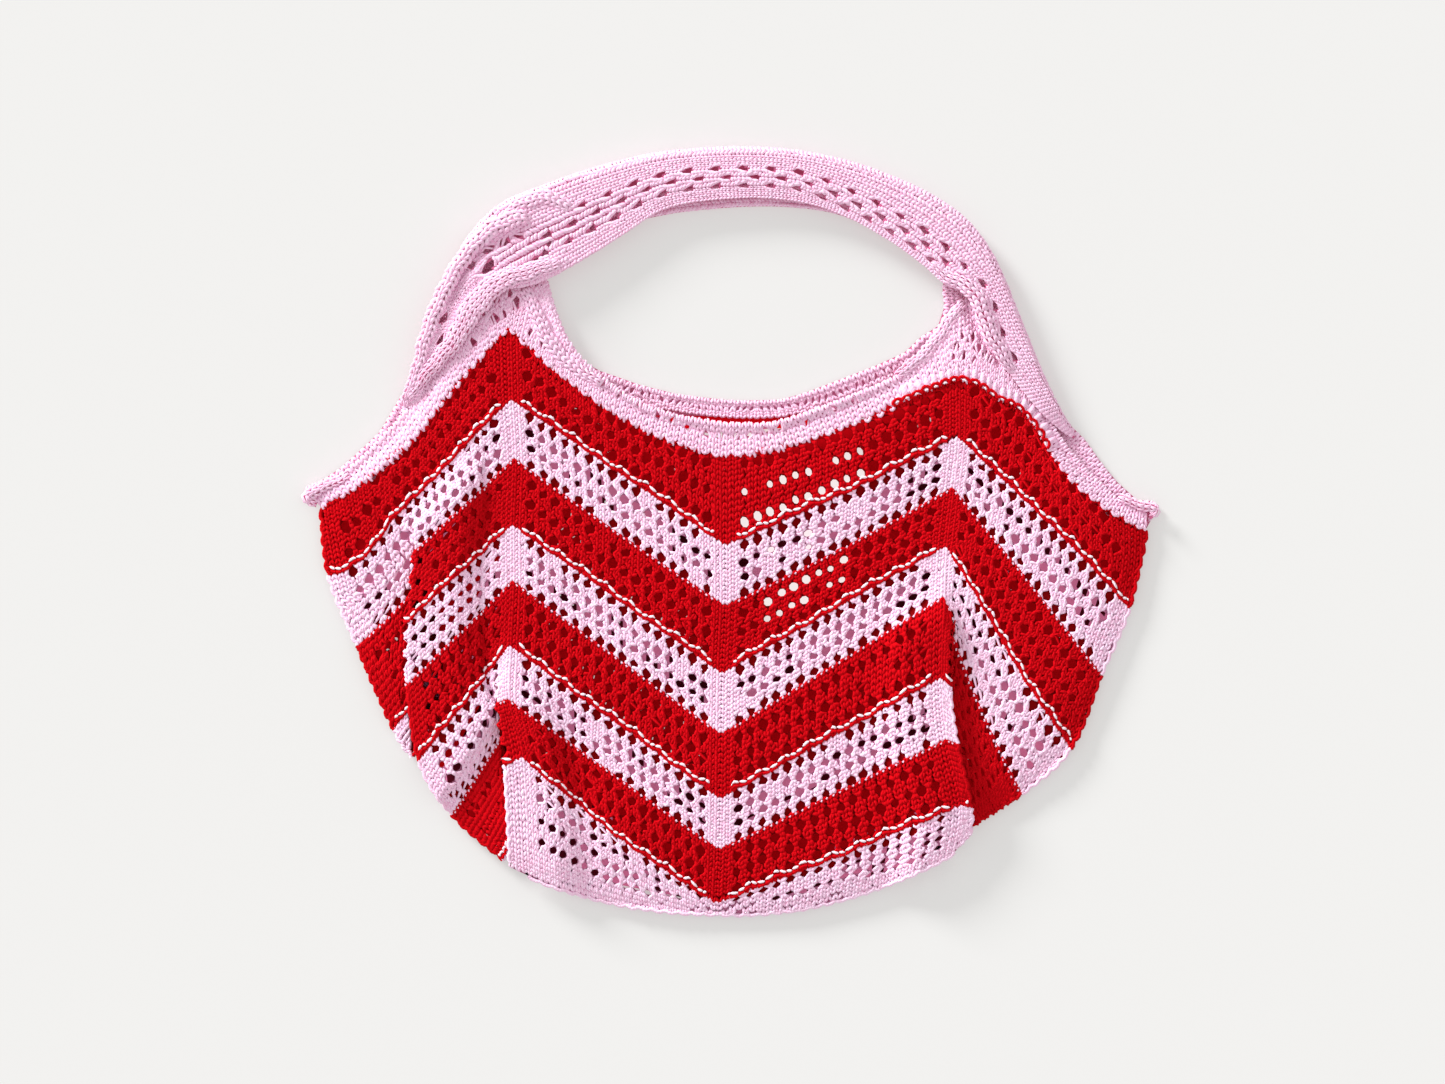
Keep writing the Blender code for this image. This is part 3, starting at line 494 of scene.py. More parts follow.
class Surface:
    """A cloth's surface from a table of points: its rows run along b, its columns along a.

    ends are how far a goes, row by row. covers are the pairs of a between which another layer of the
    same cloth lies over it.
    """

    def __init__(self, table, a_end, b_end=float(BANDS), ends=None, covers=()):
        self.table, self.a_end, self.b_end = table, a_end, b_end
        self.ends, self.covers, self.knit = ends, covers, BAND_KNIT
        self.side = 1.0
        a, b = np.meshgrid(np.linspace(0.05, 0.95, 19) * a_end, np.linspace(0.05, 0.95, 19) * b_end)
        self.side = 1.0 if self.normal(a, b)[..., 2].sum() > 0 else -1.0

    def at(self, a, b):
        rows, columns, _ = self.table.shape
        i = np.clip(b / self.b_end * (rows - 1), 0, rows - 1.000001)
        j = np.clip(a / self.a_end * (columns - 1), 0, columns - 1.000001)
        i0, j0 = i.astype(int), j.astype(int)
        fi, fj = (i - i0)[..., None], (j - j0)[..., None]
        t = self.table
        top = t[i0, j0] * (1 - fj) + t[i0, j0 + 1] * fj
        low = t[i0 + 1, j0] * (1 - fj) + t[i0 + 1, j0 + 1] * fj
        return top * (1 - fi) + low * fi

    def normal(self, a, b):
        rows, columns, _ = self.table.shape
        da, db = self.a_end / (columns - 1), self.b_end / (rows - 1)
        across = self.at(a + da, b) - self.at(a - da, b)
        down = self.at(a, b + db) - self.at(a, b - db)
        return unit(np.cross(across, down)) * self.side

    def reach(self, b):
        """How far a goes at b."""
        if self.ends is None:
            return np.full(np.shape(b), float(self.a_end))
        return np.interp(b, np.linspace(0, self.b_end, len(self.ends)), self.ends)

    def covered(self, a, b):
        """Where another layer of the same cloth lies over it."""
        hidden = np.zeros(np.shape(a), bool)
        steps = np.linspace(0, self.b_end, self.table.shape[0])
        for start, end in self.covers:
            hidden |= (a > np.interp(b, steps, start)) & (a < np.interp(b, steps, end))
        return hidden

    def pitch(self, a, b, da, db):
        """Grid units to one unit of a or of b, over a step to both sides."""
        span = np.linalg.norm(self.at(a + da, b + db) - self.at(a - da, b - db), axis=-1)
        return np.maximum(span / GRID / (2 * (da + db)), 0.5)

    def pitch_a(self, a, b, step=0.5):
        return self.pitch(a, b, step, 0)

    def pitch_b(self, a, b, step):
        return self.pitch(a, b, 0, step)

    def find(self, place):
        """The a and b whose point lies over a place, on the upper layer where there are two."""
        rows, columns, _ = self.table.shape
        gap = np.linalg.norm(self.table[..., :2] - world(place)[:2], axis=-1) / GRID
        height = np.where(gap < gap.min() + 2.5, self.table[..., 2] / GRID - gap, -99)
        i, j = np.unravel_index(np.argmax(height), gap.shape)
        return j / (columns - 1) * self.a_end, i / (rows - 1) * self.b_end


def chain_surface(make_row, longest):
    """The front's cloth from a peak out to the seam.

    a counts wales from the peak. At each fold one wale goes round the edge and the next is all that
    is hidden, so the wales that show run along the folds.
    """
    table, ends, covers = [], [], []
    for v in V_STEPS:
        points, folds, last, counts = make_row(row_at(v), v)
        line = lifted(points)
        run = run_along(line) / GRID
        known_run, known_a, row_covers = [0.0], [0.0], []
        for (top, depth), count in zip(folds, counts):
            shut = float(ease((depth - 2) / 6))
            outward = np.sign(points[-1, 0] - points[0, 0])
            after = np.arange(top + 6, len(points))
            clear = after[(points[after, 0] - points[top, 0]) * outward > -5]
            shown = clear[0] if len(clear) else after[-1]
            top_run = run[top]
            round_edge = top_run + WALE + (run[top + 4] - top_run - WALE) * shut
            under = top_run + 2 * WALE + (run[shown] - top_run - 2 * WALE) * shut
            start = known_a[-1] + count
            known_run += [top_run, round_edge, max(under, round_edge + 0.1)]
            known_a += [start, start + 1, start + 2]
            row_covers.append((start + 1, start + 2) if shut > 0.5 else (0.0, 0.0))
        known_run.append(known_run[-1] + 60 * WALE)
        known_a.append(known_a[-1] + 60)
        at = np.interp(np.arange(0, longest, 0.2), known_a, known_run)
        table.append(np.column_stack([np.interp(at, run, column) for column in line.T]))
        ends.append(float(np.interp(run[last], known_run, known_a)))
        covers.append(row_covers)
    covers = np.array(covers).transpose(1, 2, 0)
    return Surface(np.array(table), longest - 0.2, ends=np.array(ends), covers=covers)


def inner_surface(side, fold):
    """The front's cloth between a peak and the centre."""
    table = []
    for v in V_STEPS:
        row = row_at(v)
        lift = 2.0 * float(ease(getattr(row, "depth_" + fold) / 12))
        peak, sag = getattr(row, "peak_" + side), getattr(row, "sag_" + side)
        table.append(lifted(stretch(peak, row.centre, sag, lift, PLEAT_HOLD[fold], 72)))
    return Surface(np.array(table), float(ARM_WALES))


def flat_surface(start, end, longest=None, sag=None):
    """The back's cloth between two of the rows' places, lying flat, drawn in a little at its rim."""
    table, ends, step = [], [], 4.0
    middle = np.array(BACK_MIDDLE)
    for v in V_STEPS:
        row = row_at(v)
        a, b = getattr(row, start), getattr(row, end)
        line = stretch(a, b, getattr(row, sag) if sag else 0.0, steps=72)[:, :2]
        if longest:
            length = np.linalg.norm(b - a)
            line = a + unit(b - a) * np.minimum(np.arange(0, longest, step), length)[:, None]
            ends.append(length / WALE)
        far = np.linalg.norm(line - middle, axis=1)[:, None]
        line = middle + (line - middle) * (1 - DRAWN_IN * ease((far - DRAWN_FROM) / DRAWN_OVER))
        table.append(world(line, BACK_LEVEL))
    if not longest:
        return Surface(np.array(table), float(ARM_WALES))
    return Surface(np.array(table), (longest - step) / WALE, ends=np.array(ends))


class Gaps:
    """The net's gaps on a surface: on every second border between wales, in rows down each band."""

    def __init__(self, surface, first=3, chance_shut=0.04):
        rows = [(k + share, band) for k, band in enumerate(surface.knit) for share in band.gap_rows]
        self.b = np.array([r[0] for r in rows])
        self.a = np.arange(first, surface.a_end + 1, 2.0)
        a, b = np.meshgrid(self.a, self.b)
        self.pa, self.pb = surface.pitch_a(a, b), surface.pitch_b(a, b, 0.05)
        along = unit(surface.at(a + 0.5, b) - surface.at(a - 0.5, b))
        down = unit(surface.at(a, b + 0.05) - surface.at(a, b - 0.05))
        self.lean = (along * down).sum(-1)
        spacing = np.gradient(self.b)[:, None] * self.pb
        size = chance.uniform(*GAP_SIZES, a.shape)
        self.shift_a = np.clip(chance.normal(0, 0.07, a.shape), -0.16, 0.16)
        self.shift_b = np.clip(chance.normal(0, 0.9, a.shape), -1.8, 1.8) / self.pb
        narrow = np.clip(self.pa / NET_PITCH, 0.7, 1.1)
        low = np.clip(spacing / ROW_PITCH, 0.5, 1.1)
        half_wide, half_tall = (np.array([r[1][n] for r in rows])[:, None] for n in (2, 3))
        self.half_a = half_wide * size * narrow
        self.half_b = half_tall * size * low * chance.uniform(*GAP_TALLS, a.shape)
        n = np.arange(len(self.b))[:, None]
        room = (spacing > 9) | ((n % 2 == 0) & (spacing > 5.5)) | ((n % 4 == 0) & (spacing > 3))
        edge = 2.2 if surface.ends is None else 2.6
        self.there = room & (a + edge <= surface.reach(b)) & (chance.random(a.shape) > chance_shut)

    def part(self, a, b):
        """The a and b of yarn that is pushed aside by the gaps."""
        n = np.clip(np.rint((a - self.a[0]) / 2).astype(int), 0, len(self.a) - 1)
        m = np.searchsorted((self.b[1:] + self.b[:-1]) / 2, b)
        pa, pb = self.pa[m, n], self.pb[m, n]
        middle = self.a[n] + self.shift_a[m, n]
        dy = (b - self.b[m] - self.shift_b[m, n]) * pb
        lean = np.clip(self.lean[m, n] * dy, -7, 7)
        dx = (a - middle) * pa + lean
        rx, ry = self.half_a[m, n] + GAP_YARN, self.half_b[m, n] + GAP_YARN
        wide = rx * np.sqrt(np.clip(1 - (dy / ry) ** 2, 0, 1))
        room = np.maximum(pa * 0.98, wide + 0.3)
        moved = wide + np.abs(dx) * (1 - wide / room)
        side = np.where(np.abs(dx) < 0.45 * room, dx.mean(axis=1, keepdims=True), dx)
        parted = middle + (np.where(side < 0, -moved, moved) - lean) / pa
        return np.where(self.there[m, n] & (np.abs(dx) < room), parted, a), b


class Places:
    """The gaps' places on the plan, and which are in a red band, to look up the nearest."""

    def __init__(self, surfaces, all_gaps):
        places, red = [], []
        for surface, gaps in zip(surfaces, all_gaps):
            a, b = np.meshgrid(gaps.a, gaps.b)
            places.append(surface.at(a, b)[gaps.there][:, :2])
            red.append(b[gaps.there].astype(int) % 2 == 0)
        places, self.red = np.vstack(places), np.concatenate(red)
        self.tree = KDTree(len(places))
        for n, (x, y) in enumerate(places):
            self.tree.insert((x, y, 0.0), n)
        self.tree.balance()

    def nearest_to(self, points):
        """How far the nearest gap is, on the grid."""
        return np.array([[self.tree.find((x, y, 0.0))[2] for x, y in row] for row in points]) / GRID

    def red_near(self, points, far=7.0):
        found = [self.tree.find((x, y, 0.0)) for x, y in points]
        return np.array([self.red[n] and away / GRID < far for _, n, away in found])


def turned(x, y, slant):
    return x * math.cos(slant) + y * math.sin(slant), -x * math.sin(slant) + y * math.cos(slant)


def in_oval(x, y, half_x, half_y):
    return (x / half_x) ** 2 + (y / half_y) ** 2 < 1


def out_of_oval(x, y, half_x, half_y, far):
    """The factor that moves a place out of an oval, for places less than far times its size away."""
    rho = np.sqrt((x / half_x) ** 2 + (y / half_y) ** 2)
    return np.where(rho < far, (1 + rho * (far - 1) / far) / np.maximum(rho, 0.05), 1.0)


class Slits:
    """Gaps placed one by one: a place on the grid, half length, half height and slant in degrees."""

    def __init__(self, surface, slits):
        self.rows = [(surface.at(*surface.find(place)), length, height, math.radians(slant))
                     for place, length, height, slant in slits]

    def local(self, points, here, slant):
        """Where points are, seen from a slit, and whether they are in its layer of cloth."""
        way = (points - here) / GRID
        return *turned(way[..., 0], way[..., 1], slant), np.abs(way[..., 2]) < 6

    def inside(self, points, grow=0.9):
        hit = np.zeros(points.shape[:-1], bool)
        for here, length, height, slant in self.rows:
            x, y, near = self.local(points, here, slant)
            hit |= in_oval(x, y, length + grow, height + grow) & near
        return hit

    def push(self, points, grow=1.7, far=1.8):
        """Moves points out of the slits, on the plan."""
        for here, length, height, slant in self.rows:
            x, y, near = self.local(points, here, slant)
            k = np.where(near, out_of_oval(x, y, length + grow, height + grow, far), 1.0)
            for n, moved in enumerate(turned(x, y, -slant)):
                points[..., n] = here[n] + k * moved * GRID
        return points


class Eyelets:
    """A strip's eyelets: on its lines of constant a, every few courses, slanting a little."""

    def __init__(self, surface, lines):
        self.surface, self.places = surface, []
        for a, origin, first, last in lines:
            b = np.arange(origin % EYELET_PITCH, last, EYELET_PITCH)
            self.places += [(a, at) for at in b if at >= first]
        self.size = chance.uniform(0.8, 1.15, len(self.places))

    def local(self, a, b, n, grow):
        """Places seen from an eyelet, its half sizes, its slant and the pitches there."""
        a0, b0 = self.places[n]
        pa, pb = self.surface.pitch_a(a0, b0), self.surface.pitch_b(a0, b0, 0.5)
        slant = math.radians(16 if b0 < self.surface.b_end / 2 else -16)
        size = EYELET_LONG * self.size[n] + grow, EYELET_TALL * self.size[n] + grow
        return *turned((b - b0) * pb, (a - a0) * pa, slant), *size, slant, pa, pb

    def inside(self, a, b, grow=0.9):
        hit = np.zeros(np.shape(a), bool)
        for n in range(len(self.places)):
            hit |= in_oval(*self.local(a, b, n, grow)[:4])
        return hit

    def part(self, a, b, grow=1.6, far=1.7):
        for n, (a0, b0) in enumerate(self.places):
            x, y, half_x, half_y, slant, pa, pb = self.local(a, b, n, grow)
            k = out_of_oval(x, y, half_x, half_y, far)
            x, y = turned(x * k, y * k, -slant)
            a, b = a0 + y / pa, b0 + x / pb
        return a, b


class Knit:
    """A mesh of many strands, gathered before it is made."""

    def __init__(self):
        self.parts, self.count = [], 0

    def add(self, points, faces, slots, uv, tone):
        self.parts.append((points, faces + self.count, slots, uv, tone))
        self.count += len(points)

    def strands(self, centre, normal, radius, slot, full=False):
        """Strands along their middle lines: centre and normal [n, m, 3], radius [n, m]."""
        if not len(centre):
            return
        n, m, _ = centre.shape
        along = unit(np.gradient(centre, axis=1))
        across = unit(np.cross(normal, along))
        up = np.cross(along, across)
        turn = np.linspace(0, 2 * math.pi, 7)[:-1] if full else np.array([math.pi, 2.05, 1.09, 0.0])
        sides = len(turn)
        ring = (
            across[:, :, None] * np.cos(turn)[:, None] + up[:, :, None] * np.sin(turn)[:, None]
        ) * radius[:, :, None, None]
        points = (centre[:, :, None] + ring).reshape(-1, 3)
        last = sides if full else sides - 1
        i, j, k = np.meshgrid(np.arange(n), np.arange(m - 1), np.arange(last), indexing="ij")
        after = (k + 1) % sides
        base = (i * m + j) * sides
        quads = [base + k, base + sides + k, base + sides + after, base + after]
        quads = np.stack(quads, -1).reshape(-1, 4)
        run = np.cumsum(np.linalg.norm(np.diff(centre, axis=1), axis=2), 1)
        run = np.repeat(np.append(np.zeros((n, 1)), run, 1)[:, :, None], sides, 2)
        turn_uv = np.broadcast_to(np.arange(sides) / sides * 0.003, (n, m, sides))
        tone = np.repeat(chance.uniform(*TONES, n), m * sides)
        uv = np.stack([run, turn_uv], -1).reshape(-1, 2)
        self.add(points, quads, np.full(len(quads), slot), uv, tone)

    def make(self, name, materials):
        points, faces, slots, uv, tones = (np.concatenate(part) for part in zip(*self.parts))
        mesh = bpy.data.meshes.new(name)
        mesh.vertices.add(len(points))
        mesh.vertices.foreach_set("co", points.astype(np.float32).ravel())
        mesh.loops.add(faces.size)
        mesh.loops.foreach_set("vertex_index", faces.astype(np.int32).ravel())
        mesh.polygons.add(len(faces))
        mesh.polygons.foreach_set("loop_start", np.arange(0, faces.size, 4, dtype=np.int32))
        for material in materials:
            mesh.materials.append(material)
        mesh.polygons.foreach_set("material_index", slots.astype(np.int32))
        mesh.update(calc_edges=True)
        layer = mesh.uv_layers.new(name="UVMap")
        layer.data.foreach_set("uv", uv[faces.ravel()].astype(np.float32).ravel())
        tone = mesh.attributes.new("tone", "FLOAT", "POINT")
        tone.data.foreach_set("value", tones.astype(np.float32))
        mesh.shade_smooth()
        made = bpy.data.objects.new(name, mesh)
        bpy.context.scene.collection.objects.link(made)
        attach(made, "root")
        return made


def legs(knit, surface, a, b, tall, slip, yarn, slot, uneven, part, push=None, wide=1.0, face=1):
    """Two legs for each stitch, with its wale's left border a, its middle b and its height in b.

    slip is the share of its height that a stitch may slip by. part moves a and b aside, push moves the
    points. face is -1 for the surface's other side.
    """
    n = len(a)
    for way in (-1, 1):
        shake = chance.normal(0, WALE_SLIP, (n, 1)) + chance.normal(0, LEG_SLIP, (n, 4))
        leg_a = a[:, None] + (0.5 + way * LEG_OUT + shake) * wide
        down = (RINGS - 0.5) * OVERLAP + chance.normal(0, COURSE_SLIP, (n, 1)) * slip
        leg_b = b[:, None] + down * tall[:, None]
        if part:
            leg_a, leg_b = part(leg_a, leg_b)
        normal = surface.normal(leg_a, leg_b) * face
        lift = LEG_LIFT + chance.normal(0, uneven, (n, 1)) + (1 - face) * BASE_DEPTH
        centre = surface.at(leg_a, leg_b) + normal * lift[..., None]
        if push:
            centre = push(centre)
        thick = yarn * LEG_WIDTH * chance.uniform(*YARN_SPREAD, (n, 1))
        knit.strands(centre, normal, thick, slot)


def net_stitches(knit, surface, gaps):
    """The stitches of a banded net."""

    def part(a, b):
        a, b = gaps.part(a, b)
        return np.minimum(a, surface.reach(b) + 0.06), b

    wales = np.arange(0, int(surface.a_end) + 1)
    for k, band in enumerate(surface.knit):
        step = 1 / band.courses
        courses = np.arange(band.courses)
        i, b = np.meshgrid(wales, k + (courses + 0.5) * step)
        tall = surface.pitch_b(i + 0.5, b, step / 2) * step
        every = np.clip(np.ceil(LEAST_TALL / np.maximum(tall, 0.2)), 1, 8).astype(int)
        keep = (courses[:, None] % every == 0) & (i + 0.45 <= surface.reach(b))
        keep &= ~surface.covered(i + 0.5, b)
        i, b, every = i[keep].astype(float), b[keep], every[keep]
        slip = 1 / every[:, None]
        legs(knit, surface, i, b, step * every, slip, NET_YARN, k % 2, NET_SLIP, part)


def stitches(knit, surface, wale, b, tall, slot, yarn, slits=None, eyelets=None, wide=1.0, face=1):
    """One wale of a plain cloth's stitches, with yarn as thick as there is room for."""
    a, tall = np.full(len(b), float(wale)), np.full(len(b), float(tall))
    room = surface.pitch_a(a + wide / 2, b, wide / 2) * wide
    yarn = (yarn * np.clip(room / TRIM_PITCH, 0.5, 1.2))[:, None]
    legs(knit, surface, a, b, tall, 1, yarn, slot, TRIM_SLIP,
         eyelets and eyelets.part, slits and slits.push, wide, face)


AROUND = ((-1, -1), (0, -1), (1, -1), (1, 0), (1, 1), (0, 1), (-1, 1), (-1, 0))
OPEN_QUADS = [(n, (n + 1) % 8, 8 + (n + 1) % 8, 8 + n) for n in range(8)]
SHUT_QUADS = [(7, 0, 1, 8), (1, 2, 3, 8), (3, 4, 5, 8), (5, 6, 7, 8)]


def base_net(knit, surface, gaps, depth=BASE_DEPTH, stripe=0.0, edge=0.0, light=None, front=None):
    """The base sheet of a net: a tile for each gap, with eight faces round it.

    stripe is how far up its stripes are moved, in bands. edge is the share of each pink band, at its
    upper and its lower side, where red yarn closes the gaps from behind: the dark red base, darkened as
    painted shade. light is where its pink stripes are mostly light, with fewer tiles painted in shade,
    as in LIGHT_PARTS. front holds the gaps through which this net shows.
    """
    borders = np.concatenate([[0], (gaps.b[1:] + gaps.b[:-1]) / 2, [BANDS]])
    first = gaps.a[0] - 1
    tiles = [(first / 2, first / 2, None)] if first > 0 else []
    tiles += [(a, 1.0, n) for n, a in enumerate(gaps.a)]
    points, faces, slots = [], [], []
    for m, mid in enumerate(gaps.b):
        levels = (borders[m], mid, borders[m + 1])
        share = mid % 1
        # Gaps shut at a pink band's edges show the dark red base: painted shade
        closed = int(mid) % 2 == 1 and (share < edge or (share > 1 - edge and int(mid) < BANDS - 1))
        for centre, half, n in tiles:
            if centre - half >= surface.reach(mid) - 0.05:
                continue
            # Some tiles of the pink stripes get the third material: painted shade
            dark = False
            if light:
                mostly = light[0] < centre < light[1] and mid < light[2]
                dark = chance.random() < SHADE_TILE_SHARES[2 if mid > BANDS - 1 else 0 if mostly else 1]
            at, quads = len(points), SHUT_QUADS
            points += [(centre + x * half, levels[y + 1]) for x, y in AROUND]
            if n is not None and gaps.there[m, n] and not closed:
                quads = OPEN_QUADS
                here, level = centre + gaps.shift_a[m, n], mid + gaps.shift_b[m, n]
                for x, y in AROUND:
                    size = math.hypot(x, y)
                    x, y = x / size * gaps.half_a[m, n], y / size * 1.1 * gaps.half_b[m, n]
                    a = here + (x - gaps.lean[m, n] * y) / gaps.pa[m, n]
                    points.append((a, level + y / gaps.pb[m, n]))
            else:
                points.append((centre, mid))
            for quad in quads:
                faces.append([at + q for q in quad])
                down = sum(points[q][1] for q in faces[-1]) / 4
                is_pink = int(min(down + stripe, BANDS - 0.01)) % 2 and not closed
                slots.append(0 if not is_pink else 2 if dark else 1)
    points = np.array(points)
    a, b = np.minimum(points[:, 0], surface.reach(points[:, 1])), points[:, 1]
    place = surface.at(a, b) - surface.normal(a, b) * depth
    faces, slots = np.array(faces), np.array(slots)
    if front is not None:
        slots = np.where(front.red_near(place[faces].mean(1)[:, :2]), 0, slots)
    knit.add(place, faces, slots, np.column_stack([a, b * 12]), np.full(len(a), BASE_SHADE_TONE))


def base_sheet(knit, surface, slits, slot, first=0.0, step=3.0, depth=BASE_DEPTH, eyelets=None):
    """A plain base sheet on a surface, open where its slits and eyelets are."""
    wide = surface.pitch_a(surface.a_end / 2, surface.b_end / 2) * surface.a_end
    tall = run_along(surface.table[:, surface.table.shape[1] // 2])[-1] / GRID
    a = np.linspace(0, surface.a_end, max(int(wide / step), 4))
    b = np.linspace(first, surface.b_end, max(int(tall / step), 4))
    a, b = np.meshgrid(a, b)
    rows, columns = a.shape
    i, j = np.meshgrid(np.arange(rows - 1), np.arange(columns - 1), indexing="ij")
    at = i * columns + j
    faces = np.stack([at, at + 1, at + columns + 1, at + columns], -1).reshape(-1, 4)
    points = (surface.at(a, b) - surface.normal(a, b) * depth).reshape(-1, 3)
    a, b = a.ravel(), b.ravel()
    if slits:
        faces = faces[~slits.inside(points[faces].mean(1))]
    if eyelets:
        faces = faces[~eyelets.inside(a[faces].mean(1), b[faces].mean(1))]
    tones = np.full(len(points), BASE_SHADE_TONE)
    knit.add(points, faces, np.full(len(faces), slot), np.column_stack([a, b]), tones)


def weld(made):
    work = bmesh.new()
    work.from_mesh(made.data)
    bmesh.ops.remove_doubles(work, verts=work.verts, dist=0.00002)
    work.to_mesh(made.data)
    work.free()


def cord_on(knit, surface, a, b, radius, lift, slot, ends=1):
    """Strands [n, m] laid on a surface; ends are the radius's shares along a strand."""
    normal = surface.normal(a, b)
    radius = np.broadcast_to(radius * np.asarray(ends), a.shape)
    knit.strands(surface.at(a, b) + normal * lift, normal, radius, slot)


def chain_rows(knit, surface, first, last, slots):
    """The stranded chain on each pink band's upper edge, with the red line under it."""
    for k in (1.0, 3.0, 5.0, 7.0):
        ends = [first]
        top = min(last, float(surface.reach(k)) - 0.4)
        while ends[-1] < top:
            link = CHAIN_LINK * chance.uniform(0.8, 1.25) / max(surface.pitch_a(ends[-1], k), 2.0)
            ends.append(min(ends[-1] + link, top))
        start, end = np.array(ends[:-1])[:, None], np.array(ends[1:])[:, None]
        a = start + (end - start) * np.array([0.05, 0.3, 0.7, 0.97])
        tall = surface.pitch_b(a, k, 0.06)
        wave = CHAIN_WAVE * (np.abs(np.sin(a * math.pi / 4 + k)) - 0.6)
        wave = wave + 1.1 * np.sin(a * 0.37 + 2 * k)
        b = k + (wave - CHAIN_OVER_EDGE + np.array([0.5, 0.3, -0.3, -0.5])) / tall
        under = k + (wave * 0.9 - UNDER_OVER_EDGE) / tall
        seen = ~surface.covered(a[:, 1], b[:, 1])
        cord_on(knit, surface, a[seen], b[seen], CHAIN_YARN, CHAIN_LIFT, slots[0], [0.3, 1.0, 1.0, 0.3])
        cord_on(knit, surface, a[seen], under[seen], CHAIN_UNDER, CHAIN_UNDER_LIFT, slots[1])


def rim_cords(knit, surface, first, last, foot):
    """Looped edge yarn: down the surface's outer side between two bands, or along its foot."""
    t = np.linspace(0, 1, 61)
    runs = [(max(k, first), min(k + 1, last)) for k in range(int(first), math.ceil(last))]
    for start, end in [(0, 1)] if foot else runs:
        if foot:
            b = np.full(len(t), float(BANDS))
            a = first + (last - first) * t
            out = unit(surface.at(a, b) - surface.at(a, b - 0.05))
        else:
            b = start + (end - start) * t
            a = surface.reach(b)
            out = unit(surface.at(a, b) - surface.at(a - 0.6, b))
        edge = surface.at(a, b)
        run = run_along(edge) / GRID
        loops = np.abs(np.sin(run * math.pi / RIM_LOOP + 0.7 * start)) * RIM_LOOP_OUT
        loops = loops + chance.normal(0, 0.2, len(t)) - 1.0
        line = edge + out * (loops * GRID)[:, None] + surface.normal(a - 0.4, b - 0.02) * RIM_LIFT
        up = np.broadcast_to([0, 0, 1.0], (1, len(t), 3))
        slot = 1 if foot else int(start) % 2
        knit.strands(line[None], up, np.full((1, len(t)), RIM_YARN), slot, full=True)


def boundary_dots(knit, surface, first, last, slot):
    """The pink loops that reach over into the red below each pink band."""
    for k in (2.0, 4.0, 6.0):
        at = np.arange(first, min(last, float(surface.reach(k)) - 0.6), 1.0)
        at = at + chance.normal(0, 0.08, len(at))
        at = at[~surface.covered(at, k)][:, None]
        a = at + np.array([-0.13, 0.0, 0.13])
        b = k + np.array([1.2, 2.4, 1.2]) / surface.pitch_b(at, k, 0.06)
        cord_on(knit, surface, a, b, DOT_YARN, DOT_LIFT, slot, [0.8, 1, 0.8])


HALF_TURN = np.linspace(0, math.pi, 7)


def trim_loops(knit, surface, first, last, slot):
    """The trim's loops that hang over the red, one every second wale."""
    at = np.arange(first, last, 2.0)[:, None]
    at = at + chance.normal(0, 0.12, at.shape)
    size = chance.uniform(0.75, 1.15, at.shape)
    a = at - np.cos(HALF_TURN) * LOOP_WIDE * size
    b = (np.sin(HALF_TURN) * LOOP_DROP * size - 1.2) / surface.pitch_b(at, 0.06, 0.05)
    cord_on(knit, surface, a, b, LOOP_YARN, LOOP_LIFT, slot)


def along_edge(surface, start, end, pitch):
    """Places every pitch along a surface's lower edge between two places, as a column of a."""
    first, last = (surface.find(place)[0] for place in (start, end))
    found = [first]
    while found[-1] < last:
        found.append(found[-1] + pitch / surface.pitch_a(found[-1], 0.2))
    return np.array(found[:-1])[:, None]


def petals(knit, surface, start, end, pitch, long, slot):
    """Wide smooth stitches that stand side by side on a surface's lower edge."""
    at = along_edge(surface, start, end, pitch) + chance.normal(0, 0.04, 1)
    size = chance.uniform(0.85, 1.15, at.shape)
    a = at + chance.normal(0, 0.06, at.shape) * np.linspace(0, 1, 7)
    b = 0.2 + (np.linspace(-0.5, long, 7) * size) / surface.pitch_b(at, 0.3, 0.1)
    radius = np.minimum(surface.pitch_a(a, b) / YOKE_PITCH, 1.3) * PETAL_YARN
    cord_on(knit, surface, a, b, radius, PETAL_LIFT, slot, [0.5, 0.85, 1.0, 1.0, 0.95, 0.8, 0.35])


def scallops(knit, surface, start, end, pitch, arc_slot, dot_slot):
    """Red yarn looped over a surface's lower edge, with a light stitch in each loop."""
    at = along_edge(surface, start, end, pitch)
    half = pitch / 2 / surface.pitch_a(at, 0.2)
    tall = surface.pitch_b(at, 0.3, 0.1)
    a = at + half - np.cos(HALF_TURN) * half
    b = 0.2 + (np.sin(HALF_TURN) * 4.0 * chance.uniform(0.7, 1.2, at.shape) - 2.6) / tall
    cord_on(knit, surface, a, b, SCALLOP_YARN, LOOP_LIFT, arc_slot)
    a = at + half * (1 + np.array([-0.3, 0.0, 0.3]))
    b = 0.2 + (np.array([-0.4, 0.5, -0.4]) - 1.4) / tall
    cord_on(knit, surface, a, b, SCALLOP_DOT_YARN, SCALLOP_DOT_LIFT, dot_slot, [0.8, 1, 0.8])


